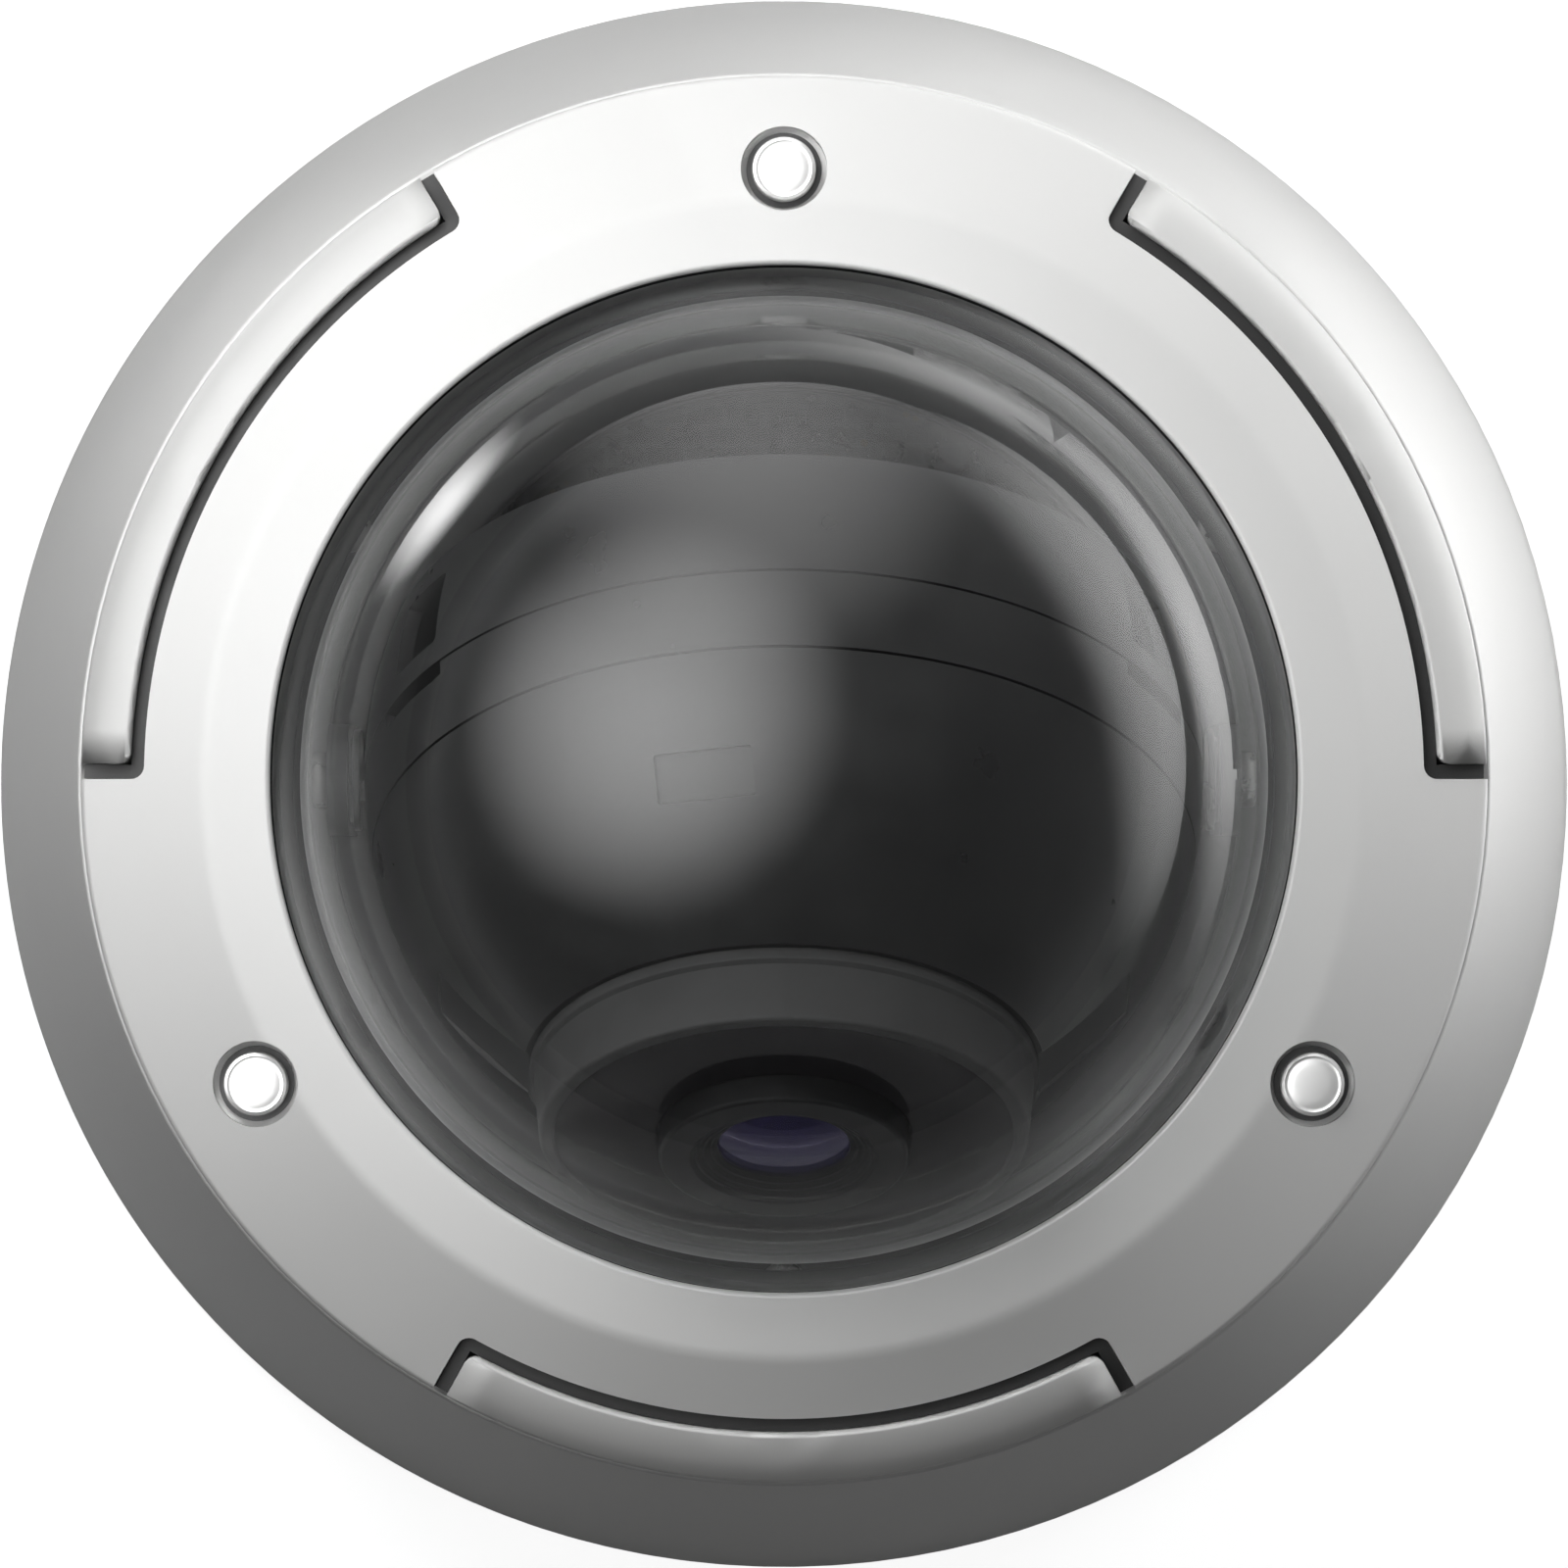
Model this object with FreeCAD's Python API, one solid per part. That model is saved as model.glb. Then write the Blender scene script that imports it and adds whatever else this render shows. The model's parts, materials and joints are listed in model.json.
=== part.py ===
import FreeCAD
import Part
import math
import os

# Outdoor vandal-resistant dome camera, lying on its back: the wall face is z = 0 and the
# clear dome points up +Z. The axis of the dome is Z. All sizes are in millimetres.

Vector = FreeCAD.Vector
X_AXIS = Vector(1, 0, 0)
Y_AXIS = Vector(0, 1, 0)
Z_AXIS = Vector(0, 0, 1)
CENTRE = Vector(0, 0, 0)

# Driving sizes of the dome and of what surrounds it, from the ball outwards
dome_radius = 55.1              # outside of the clear dome
dome_wall = 3.0
ball_gap = 6.9                  # ball to the inside of the dome
lip_overlap = 0.7               # the cover's lip reaches over the dome
bore_gap = 1.9                  # dome to the wall below the lip
seat_width = 1.9                # ledge that the dome's gasket sits on
neck_wall = 2.3                 # neck of the cover, inside the housing
screw_margin = 3.5              # neck to the circle of the cover screws
shelf_margin = 10.9             # circle of the cover screws to the top of the housing
housing_flare = 14.4            # the housing is this much wider at the wall than at the top

# Driving sizes of the height, from the wall outwards
floor_bottom_z = 5.0
floor_thickness = 3.0
board_gap = 2.6                 # floor to board
board_thickness = 1.6
under_ball_gap = 3.6            # board to ball
shelf_rise = 7.0                # centre of the dome to the housing's shelf
cover_height = 11.3             # shelf to the lip of the cover

# Walls and clearances
housing_wall = 3.2
shelf_thickness = 3.5
cover_skirt_wall = 2.4
shell_wall = 1.7
seat_gap = 0.1                  # between faces that rest on each other in different bodies
run_gap = 0.1                   # radial clearance of a turning or sliding fit
free_gap = 0.3                  # clearance beside a moving piece

# Angles about the dome's axis, in degrees from +X
screw_angles = (90.0, 210.0, 330.0)
tab_angles = (30.0, 150.0, 270.0)
nib_angles = (0.0, 60.0, 120.0, 180.0, 240.0, 300.0)

# Cover
cover_edge_margin = 0.7         # the cover is this much smaller than the housing's top
cover_edge_drop = 6.1           # lip of the cover down to its outer edge
cover_ridge_drop = 0.8          # lip of the cover down to the soft ridge
cover_ridge_width = 7.0         # lip of the cover out to the soft ridge
cover_lip_thickness = 2.0
neck_depth = 12.6               # below the shelf
seat_depth = 6.7                # dome seat below the shelf
screw_recess_gap = 1.2          # beside the screw head
screw_recess_floor = 5.5        # above the shelf

# Curved tabs of the housing that the cover is notched around
tab_half_angle = 28.7
tab_outer_margin = 0.85         # inside the housing's top
tab_slope_width = 1.95          # steep outer slope
tab_top_width = 3.4             # gentle inner slope
tab_height = 8.0
tab_seam = 1.5
tab_corner_round = 1.4

# Cover screws and the small screws that keep them captive
screw_head_radius = 3.4
screw_head_height = 2.8
screw_thread_radius = 2.0
screw_neck_radius = 1.45
screw_washer_thickness = 0.6
screw_thread_length = 8.8
screw_lift = 9.0                # turns out this far before the cover comes free
retainer_rise = 3.2             # above the shelf
retainer_head_radius = 2.85
retainer_head_height = 1.6

# Seals and the dome's flange
cover_seal_drop = 4.0           # middle of the seal below the shelf
cover_seal_height = 2.2
cover_seal_depth = 1.1
dome_flange_thickness = 2.7
dome_gasket_thickness = 0.8
dome_ring_thickness = 2.2

# Wall bracket
bracket_thickness = 2.0
bracket_radius = 60.0
bracket_cable_hole_radius = 28.0
bracket_bolt_circle_radius = 41.5
bracket_bolt_hole_radius = 2.25
bracket_ear_reach = 6.0
bracket_ear_half_angle = 9.0
bracket_ear_bottom = 2.6
bracket_ear_thickness = 1.4

# Cable gland
gland_x = 0.0
gland_y = 14.0
gland_hole_radius = 9.5
gland_cable_radius = 2.9

# Main board
board_margin = 4.8              # circle of the posts to the edge of the board
board_screw_circle = 50.0
board_screw_angles = (60.0, 120.0, 255.0, 285.0)

# Chassis and pan ring
chassis_drop = 24.0             # centre of the dome to the underside of the chassis
chassis_thickness = 3.0
chassis_margin = 3.2            # circle of the posts to the edge of the chassis
post_radius = 3.0
post_margin = 3.6               # pan ring to the circle of the posts
bearing_inset = 0.7             # the pan bearing is this much smaller than the ball
bearing_wall = 1.3
pan_ring_thickness = 4.0
pan_ring_margin = 2.6           # yoke arm to the edge of the pan ring
pan_lip_width = 1.6             # the retainer reaches over the pan ring
retainer_lip_thickness = 1.5

# Yoke and tilt axis
tilt_angle = 60.0               # lens axis from +Z towards -Y in the pose as drawn
arm_thickness = 2.2
arm_half_width = 6.0
arm_foot_depth = 2.5            # pocket in the pan ring that the arm stands in
ear_radius = 5.5
ear_thickness = 0.8
pivot_radius = 1.5
pivot_head_radius = 3.0
pivot_head_height = 1.6
washer_thickness = 0.4

# Ball, drawn about its own lens axis with z = 0 at its centre
band_back = 1.5                 # tilt ring from here
band_front = 9.8                # to here
band_depth = 3.0                # outside of the ball to the neck that the tilt ring turns on
neck_rise = 1.5                 # the neck goes on this far inside the front shell
neck_bite = 0.25                # and into the shell's wall
shell_boss_radius = 3.0
shell_boss_inset = 4.6          # neck to the circle of the shell screws
rear_depth = 14.2               # flat back of the ball behind the centre
collar_seat_radius = 27.6
collar_height = 7.9
collar_base_radius = 26.9
collar_face_radius = 25.8
collar_inner_radius = 24.2
window_thickness = 1.6
nose_radius = 13.2
nose_height = 2.6               # in front of the window's face
nose_cone_radius = 10.2
lens_glass_radius = 7.0
barrel_radius = 12.0
barrel_wall = 1.7
barrel_inset = 2.8              # front of the barrel behind the collar's seat
barrel_back = 2.0
zoom_travel = 1.5
filter_travel = 8.5
filter_length = 16.5
filter_start = -12.6
filter_slot_z0 = -2.4
filter_slot_z1 = -1.0

# Worked out from the sizes above
ball_radius = dome_radius - dome_wall - ball_gap
cover_lip_radius = dome_radius - lip_overlap
cover_ridge_radius = cover_lip_radius + cover_ridge_width
cover_bore_radius = dome_radius + bore_gap
neck_bore_radius = cover_bore_radius + seat_width
neck_outer_radius = neck_bore_radius + neck_wall
screw_circle_radius = neck_outer_radius + screw_margin
housing_bore_radius = neck_outer_radius + 4 * run_gap
housing_top_radius = screw_circle_radius + shelf_margin
base_radius = housing_top_radius + housing_flare
cover_edge_radius = housing_top_radius - cover_edge_margin
screw_recess_radius = screw_head_radius + screw_recess_gap
tab_outer_radius = housing_top_radius - tab_outer_margin
tab_break_radius = tab_outer_radius - tab_slope_width
tab_inner_radius = tab_break_radius - tab_top_width

floor_z = floor_bottom_z + floor_thickness
board_z = floor_z + board_gap
board_top = board_z + board_thickness
dome_centre_z = board_top + under_ball_gap + ball_radius
shelf_z = dome_centre_z + shelf_rise
lip_z = shelf_z + cover_height
ridge_z = lip_z - cover_ridge_drop
edge_z = lip_z - cover_edge_drop
seat_z = shelf_z - seat_depth
retainer_z = shelf_z + retainer_rise
cover_seal_z = shelf_z - cover_seal_drop

ear_x = ball_radius + free_gap
washer_x = ear_x + ear_thickness
arm_x = washer_x + washer_thickness + run_gap
pivot_head_x = arm_x + arm_thickness + 2 * run_gap
pan_ring_radius = arm_x + arm_thickness + pan_ring_margin
pan_lip_radius = pan_ring_radius - pan_lip_width
post_circle_radius = pan_ring_radius + post_margin
chassis_radius = post_circle_radius + chassis_margin
board_radius = post_circle_radius + board_margin
chassis_bottom_z = dome_centre_z - chassis_drop
chassis_top_z = chassis_bottom_z + chassis_thickness
pan_ring_z = chassis_top_z + run_gap
pan_ring_top = pan_ring_z + pan_ring_thickness
ball_at_ring = math.sqrt(ball_radius ** 2 - (dome_centre_z - pan_ring_top) ** 2)
bearing_clear_radius = ball_at_ring + bearing_wall + free_gap + run_gap
chassis_bore_radius = max(ball_radius - bearing_inset, bearing_clear_radius)
retainer_lip_z = pan_ring_top + 2 * run_gap
retainer_top_z = retainer_lip_z + retainer_lip_thickness

neck_radius = ball_radius - band_depth
neck_meets_shell = math.sqrt((ball_radius - shell_wall) ** 2 - (neck_radius - neck_bite) ** 2)
neck_end = max(band_front + free_gap + neck_rise, neck_meets_shell)
shell_boss_circle = neck_radius - shell_boss_inset
collar_base = math.sqrt(ball_radius ** 2 - collar_seat_radius ** 2)
face_distance = collar_base + collar_height
nose_front = face_distance + nose_height
barrel_front = collar_base - barrel_inset


def polar(radius, degrees, z=0.0):
    angle = math.radians(degrees)
    return Vector(radius * math.cos(angle), radius * math.sin(angle), z)


def rod(radius, z0, z1, x=0.0, y=0.0):
    return Part.makeCylinder(radius, z1 - z0, Vector(x, y, z0))


def ring(inner, outer, z0, z1):
    return rod(outer, z0, z1).cut(rod(inner, z0, z1))


def rod_between(start, end, radius):
    line = end.sub(start)
    return Part.makeCylinder(radius, line.Length, start, line)


def box(x0, x1, y0, y1, z0, z1):
    return Part.makeBox(x1 - x0, y1 - y0, z1 - z0, Vector(x0, y0, z0))


def turned(shape, degrees, axis=Z_AXIS, about=CENTRE):
    copy = shape.copy()
    copy.rotate(about, axis, degrees)
    return copy


def moved(shape, offset):
    copy = shape.copy()
    copy.translate(offset)
    return copy


def joined(shapes):
    return shapes[0].fuse(shapes[1:]).removeSplitter()


def lathe(corners):
    """Turn a closed outline of (radius, height, rounding) corners about Z."""
    points = [Vector(c[0], 0, c[1]) for c in corners]
    rounds = [c[2] if len(c) > 2 else 0.0 for c in corners]
    count = len(points)
    entries = []
    for i in range(count):
        here = points[i]
        if rounds[i] == 0.0:
            entries.append((here, here, here))
            continue
        back = points[i - 1].sub(here).normalize()
        ahead = points[(i + 1) % count].sub(here).normalize()
        half = back.getAngle(ahead) / 2
        reach = rounds[i] / math.tan(half)
        bisector = back.add(ahead).normalize()
        middle = here.add(bisector.multiply(rounds[i] / math.sin(half) - rounds[i]))
        entries.append((here.add(back.multiply(reach)), middle, here.add(ahead.multiply(reach))))
    edges = []
    for i in range(count):
        start, middle, end = entries[i]
        if rounds[i] > 0.0:
            edges.append(Part.Arc(start, middle, end).toShape())
        following = entries[(i + 1) % count][0]
        if end.distanceToPoint(following) > 1e-6:
            edges.append(Part.LineSegment(end, following).toShape())
    face = Part.Face(Part.Wire(Part.__sortEdges__(edges)))
    return face.revolve(CENTRE, Z_AXIS, 360)


def wedge(inner, outer, z0, z1, middle, half_angle):
    sector = Part.makeCylinder(outer, z1 - z0, Vector(0, 0, z0), Z_AXIS, 2 * half_angle)
    return turned(sector.cut(rod(inner, z0, z1)), middle - half_angle)


def star_drive(radius, depth):
    """Six-lobed recess, opening at z = 0 and going down."""
    lobes = [rod(radius * 0.74, -depth, 0.01)]
    for i in range(6):
        place = polar(radius * 0.72, 60 * i)
        lobes.append(rod(radius * 0.28, -depth, 0.01, place.x, place.y))
    return joined(lobes)


def pan_screw(head_radius, head_height, shank_radius, shank_length):
    """Screw whose head rests on z = 0, with its shank below."""
    head = lathe([(0, 0), (head_radius, 0), (head_radius, head_height, head_height * 0.4), (0, head_height)])
    body = head.fuse(rod(shank_radius, -shank_length, 0))
    return body.cut(moved(star_drive(head_radius * 0.5, head_height * 0.6), Vector(0, 0, head_height)))


def on_lens_axis(shape):
    """Move a shape drawn about Z, with the ball's centre at the origin, into its tilted place."""
    return moved(turned(shape, tilt_angle, X_AXIS), Vector(0, 0, dome_centre_z))


def ball_zone(radius, z0, z1):
    return Part.makeSphere(radius).common(box(-radius - 1, radius + 1, -radius - 1, radius + 1, z0, z1))


def housing_outer_radius(z):
    return base_radius - (base_radius - housing_top_radius) * z / shelf_z


def notch_tool(inner, half_angle, z0, z1):
    """Sector outside a radius with its two inner corners rounded."""
    tool = wedge(inner, base_radius, z0, z1, 0, half_angle)
    corners = []
    for edge in tool.Edges:
        middle = edge.CenterOfMass
        upright = abs(edge.tangentAt(edge.FirstParameter).z) > 0.99
        if upright and abs(math.hypot(middle.x, middle.y) - inner) < 0.01:
            corners.append(edge)
    return tool.makeFillet(tab_corner_round, corners)


def gasket_ring():
    return ring(base_radius - 7.0, base_radius - 3.0, 0, 1.5)


def make_housing():
    body = lathe([
        (0, floor_bottom_z), (base_radius - 10, floor_bottom_z, 1.0), (base_radius - 10, 0),
        (base_radius, 0, 0.8), (housing_top_radius, shelf_z, 0.4), (housing_bore_radius, shelf_z, 0.5),
        (housing_bore_radius, shelf_z - neck_depth + 4.0),
        (housing_bore_radius + 2.4, shelf_z - neck_depth + 4.0),
        (housing_bore_radius + 2.4, shelf_z - shelf_thickness, 1.0),
        (housing_outer_radius(shelf_z - shelf_thickness) - housing_wall, shelf_z - shelf_thickness, 1.5),
        (housing_outer_radius(floor_z) - housing_wall, floor_z, 2.0), (0, floor_z)])
    body = body.cut(gasket_ring())

    tab = lathe([
        (tab_inner_radius, shelf_z - 1.0), (tab_inner_radius, shelf_z + tab_height, 0.5),
        (tab_break_radius, shelf_z + tab_height - 0.9), (tab_outer_radius, edge_z, 0.5),
        (housing_top_radius - 0.3, shelf_z - 1.0)])
    tab = tab.common(notch_tool(tab_inner_radius - 0.01, tab_half_angle, shelf_z - 1, lip_z))
    body = body.fuse([turned(tab, angle) for angle in tab_angles])

    boss_bottom = shelf_z - 20.0
    for angle in screw_angles:
        place = polar(screw_circle_radius, angle)
        boss = rod(4.6, boss_bottom, shelf_z - 1, place.x, place.y)
        rib_end = polar(housing_outer_radius(shelf_z) - 1.0, angle, shelf_z - 6)
        rib = rod_between(polar(screw_circle_radius, angle, shelf_z - 6), rib_end, 2.0)
        body = body.fuse([boss, rib])
    body = body.cut(rod(housing_bore_radius, shelf_z - neck_depth - free_gap, shelf_z + 1))
    for angle in screw_angles:
        place = polar(screw_circle_radius, angle)
        thread_top = screw_thread_bottom() + screw_thread_length - 0.3
        clear_radius = screw_thread_radius + 2 * run_gap + 0.2
        body = body.cut(rod(screw_thread_radius + run_gap / 2, boss_bottom + 2, thread_top, place.x, place.y))
        body = body.cut(rod(clear_radius, thread_top, shelf_z + 1, place.x, place.y))

    for angle in tab_angles:
        place = polar(post_circle_radius, angle)
        post = rod(post_radius, floor_z - 1, chassis_bottom_z, place.x, place.y)
        post = post.fuse(rod(post_radius + 1.2, floor_z - 1, board_z, place.x, place.y))
        body = body.fuse(post)
    for angle in tab_angles:
        place = polar(post_circle_radius, angle)
        body = body.cut(rod(1.25, chassis_bottom_z - 12, chassis_bottom_z + 1, place.x, place.y))
    for angle in board_screw_angles:
        place = polar(board_screw_circle, angle)
        body = body.fuse(rod(3.0, floor_z - 1, board_z, place.x, place.y))
    for angle in board_screw_angles:
        place = polar(board_screw_circle, angle)
        body = body.cut(rod(1.0, floor_z - 1.5, board_z + 1, place.x, place.y))

    body = body.cut(rod(gland_hole_radius, 0, floor_z + 1, gland_x, gland_y))
    hook_half_angle = bracket_ear_half_angle + 3
    hook_outside = bracket_radius + 10.5
    for angle in tab_angles:
        hook_lip = wedge(bracket_radius + 1.0, hook_outside, 0.6, 2.2, angle, hook_half_angle)
        wall_top = floor_bottom_z + 0.5
        hook_wall = wedge(bracket_radius + 7.0, hook_outside, 0.6, wall_top, angle, hook_half_angle)
        body = body.fuse([hook_lip, hook_wall])
    return body.removeSplitter()


def screw_head_bottom():
    return shelf_z + screw_recess_floor + screw_washer_thickness


def screw_thread_bottom():
    return retainer_z - 1.2 - screw_lift - screw_thread_length


def make_base_gasket():
    return gasket_ring()


def make_bracket():
    plate = ring(bracket_cable_hole_radius, bracket_radius, 0, bracket_thickness)
    ear_top = bracket_ear_bottom + bracket_ear_thickness
    root = bracket_radius - 5
    reach = bracket_radius + bracket_ear_reach
    for angle in tab_angles:
        step = wedge(root, bracket_radius - 0.5, 0.5, ear_top, angle, bracket_ear_half_angle)
        ear = wedge(root, reach, bracket_ear_bottom, ear_top, angle, bracket_ear_half_angle)
        plate = plate.fuse([step, ear])
    for i in range(4):
        place = polar(bracket_bolt_circle_radius, 45 + 90 * i)
        plate = plate.cut(rod(bracket_bolt_hole_radius, -1, bracket_thickness + 1, place.x, place.y))
    return plate.removeSplitter()


def make_gland():
    sleeve = rod(gland_hole_radius, floor_bottom_z - 1.2, floor_z + 1.2, gland_x, gland_y)
    inside = rod(gland_hole_radius + 2.6, floor_z, floor_z + 1.2, gland_x, gland_y)
    outside = rod(gland_hole_radius + 2.6, floor_bottom_z - 1.2, floor_bottom_z, gland_x, gland_y)
    bore = rod(gland_cable_radius, floor_bottom_z - 2, floor_z + 4, gland_x, gland_y)
    funnel = Part.makeCone(gland_cable_radius + 3.5, gland_cable_radius, 3.0,
                           Vector(gland_x, gland_y, floor_bottom_z - 1.2))
    return joined([sleeve, inside, outside]).cut(funnel).cut(bore)


def make_main_board():
    board = rod(board_radius, board_z, board_top)
    for angle in tab_angles:
        place = polar(post_circle_radius, angle)
        board = board.cut(rod(post_radius + 0.6, board_z, board_top, place.x, place.y))
    for angle in board_screw_angles:
        place = polar(board_screw_circle, angle)
        board = board.cut(rod(1.35, board_z, board_top, place.x, place.y))
    return board.cut(rod(gland_hole_radius + 3.5, board_z, board_top, gland_x, gland_y))


def make_board_screws():
    screw = pan_screw(2.2, 1.6, 1.0, board_thickness + 3.4)
    places = [polar(board_screw_circle, angle, board_top) for angle in board_screw_angles]
    return Part.makeCompound([moved(screw, place) for place in places])


def make_network_socket():
    shell = box(37, 52.5, -13, 8, board_top, board_top + 13)
    plug_space = box(39, 50.5, -14, 3, board_top + 2.2, board_top + 10.4)
    latch_space = box(41.7, 47.8, -14, 3, board_top + 10.3, board_top + 11.8)
    return shell.cut(plug_space).cut(latch_space)


def make_power_terminal():
    block = box(-52, -43, -10, 10, board_top, board_top + 9)
    for i in range(4):
        y = -7.5 + 5 * i
        block = block.cut(rod_between(Vector(-53, y, board_top + 3), Vector(-46, y, board_top + 3), 1.3))
        block = block.cut(rod(1.6, board_top + 5.5, board_top + 10, -47.5, y))
    return block


def make_card_slot():
    case = box(-33.5, -20, -47, -33, board_top, board_top + 2.0)
    return case.cut(box(-32.4, -21.1, -48, -33.6, board_top + 0.5, board_top + 1.5))


def make_memory_card():
    card = box(-32.25, -21.25, -48.6, -33.9, board_top + 0.6, board_top + 1.4)
    lip = box(-32.25, -21.25, -48.6, -47.4, board_top + 0.6, board_top + 1.7)
    return joined([card, lip])


def make_button_body():
    body = box(17, 23, -51, -45, board_top, board_top + 3.4)
    return body.cut(rod(1.75 + run_gap, board_top + 1.2, board_top + 4, 20, -48))


def make_button():
    return joined([rod(1.75, board_top + 1.8, board_top + 5.0, 20, -48)])


def make_status_led():
    bulb = rod(1.5, board_top, board_top + 2.6, 28, -43)
    tip = Part.makeSphere(1.5, Vector(28, -43, board_top + 2.6))
    return joined([bulb, tip])


def make_chips():
    processor = box(-8, 8, -24, -8, board_top, board_top + 1.5)
    memory = [box(x, x + 9, -24, -13, board_top, board_top + 1.1) for x in (-20, 11)]
    return Part.makeCompound([processor] + memory)


def make_desiccant():
    outside = housing_outer_radius(floor_z + 22) - housing_wall - 7.0
    pack = box(outside - 5.0, outside, -14, 14, floor_z, floor_z + 22)
    pack = pack.makeFillet(1.5, pack.Edges)
    return turned(pack, 50)


def make_chassis_ring():
    plate = ring(chassis_bore_radius, chassis_radius, chassis_bottom_z, chassis_top_z)
    for angle in tab_angles:
        place = polar(post_circle_radius, angle)
        plate = plate.cut(rod(1.6, chassis_bottom_z, chassis_top_z, place.x, place.y))
    return plate


def make_pan_retainer():
    collar = lathe([
        (pan_ring_radius + 2 * run_gap, chassis_top_z), (chassis_radius, chassis_top_z),
        (chassis_radius, retainer_top_z, 0.8), (pan_lip_radius, retainer_top_z, 0.4),
        (pan_lip_radius, retainer_lip_z), (pan_ring_radius + 2 * run_gap, retainer_lip_z)])
    for angle in tab_angles:
        place = polar(post_circle_radius, angle)
        collar = collar.cut(rod(1.6, chassis_top_z, retainer_top_z, place.x, place.y))
    return collar


def make_chassis_screws():
    screw = pan_screw(2.6, 1.7, 1.25, retainer_top_z - chassis_bottom_z + 9)
    return Part.makeCompound([moved(screw, polar(post_circle_radius, a, retainer_top_z)) for a in tab_angles])


def make_pan_ring():
    spigot_outer = chassis_bore_radius - run_gap
    body = lathe([
        (spigot_outer - bearing_wall, chassis_bottom_z), (spigot_outer, chassis_bottom_z),
        (spigot_outer, pan_ring_z), (pan_ring_radius, pan_ring_z), (pan_ring_radius, pan_ring_top, 0.4),
        (spigot_outer - bearing_wall, pan_ring_top, 0.6)])
    foot = pan_ring_top - arm_foot_depth
    for side in (0, 180):
        pocket = box(arm_x, arm_x + arm_thickness, -arm_half_width, arm_half_width, foot, pan_ring_top)
        body = body.cut(turned(pocket, side))
    return body


def make_yoke_arm(side):
    """Flat arm on the +X side for side = 1 and the -X side for side = -1."""
    x0 = min(side * arm_x, side * (arm_x + arm_thickness))
    x1 = x0 + arm_thickness
    foot = pan_ring_top - arm_foot_depth
    plate = box(x0, x1, -arm_half_width, arm_half_width, foot, dome_centre_z)
    top = Part.makeCylinder(arm_half_width, arm_thickness, Vector(x0, 0, dome_centre_z), X_AXIS)
    hole_start = Vector(x0 - 1, 0, dome_centre_z)
    hole = Part.makeCylinder(pivot_radius + run_gap, arm_thickness + 2, hole_start, X_AXIS)
    window = box(x0 - 1, x1 + 1, -2.2, 2.2, pan_ring_top + 2.0, dome_centre_z - 5.0)
    return joined([plate, top]).cut(hole).cut(window)


def make_tilt_ring():
    """Ring between the front and rear shells, with the two ears of the tilt axis."""
    band = ball_zone(ball_radius, band_back, band_front)
    band = band.cut(rod(neck_radius + run_gap, band_back - 1, band_front + 1))
    pieces = [band]
    for side in (1, -1):
        x0 = min(side * ear_x, side * (ear_x + ear_thickness))
        ear = Part.makeCylinder(ear_radius, ear_thickness, Vector(x0, 0, 0), X_AXIS)
        bridge_in = neck_radius + 0.9
        bridge = box(min(side * bridge_in, side * (ear_x + 0.4)), max(side * bridge_in, side * (ear_x + 0.4)),
                     -3.0, 3.0, band_back + 0.3, 4.4)
        pieces += [ear, bridge]
    ring_body = joined(pieces)
    for side in (1, -1):
        slot = wedge(ball_radius - 1.6, ball_radius + 2, band_back - 1, band_back + 1.7, 90 + side * 61, 8)
        ring_body = ring_body.cut(slot)
    return on_lens_axis(ring_body)


def make_friction_washers():
    washers = []
    for side in (1, -1):
        x0 = min(side * washer_x, side * (washer_x + washer_thickness))
        disc = Part.makeCylinder(4.6, washer_thickness, Vector(x0, 0, dome_centre_z), X_AXIS)
        washers.append(disc.cut(Part.makeCylinder(pivot_radius, 4, Vector(x0 - 1, 0, dome_centre_z), X_AXIS)))
    return Part.makeCompound(washers)


def make_pivot_screws():
    length = pivot_head_x - ear_x
    screw = pan_screw(pivot_head_radius, pivot_head_height, pivot_radius, length - ear_thickness)
    right = moved(turned(screw, 90, Y_AXIS), Vector(pivot_head_x, 0, dome_centre_z))
    left = moved(turned(screw, -90, Y_AXIS), Vector(-pivot_head_x, 0, dome_centre_z))
    return Part.makeCompound([right, left])


def make_rear_shell():
    outside = ball_zone(ball_radius, -rear_depth, band_back - free_gap)
    inside = ball_zone(ball_radius - shell_wall, -rear_depth + shell_wall, -0.6)
    body = outside.cut(inside).cut(rod(neck_radius - 2.0, -0.7, band_back))
    for side in (1, -1):
        window = wedge(ball_radius - 6, ball_radius + 2, -10.6, -1.6, 90 + side * 60, 5.6)
        body = body.cut(window)
    for x in (-15, 15):
        for y in (-15, 15):
            body = body.fuse(rod(2.4, -rear_depth + 0.5, -9.2, x, y))
    for x in (-15, 15):
        for y in (-15, 15):
            body = body.cut(rod(0.9, -rear_depth + 0.8, -9, x, y))
    for angle in screw_angles:
        place = polar(shell_boss_circle, angle)
        body = body.cut(rod(1.3, -rear_depth - 1, 0, place.x, place.y))
        body = body.cut(rod(shell_boss_radius + run_gap, -0.7, band_back, place.x, place.y))
    body = body.cut(rod(5.0, -rear_depth - 1, -rear_depth + 3, 0, 30))
    return on_lens_axis(body.removeSplitter())


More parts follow.
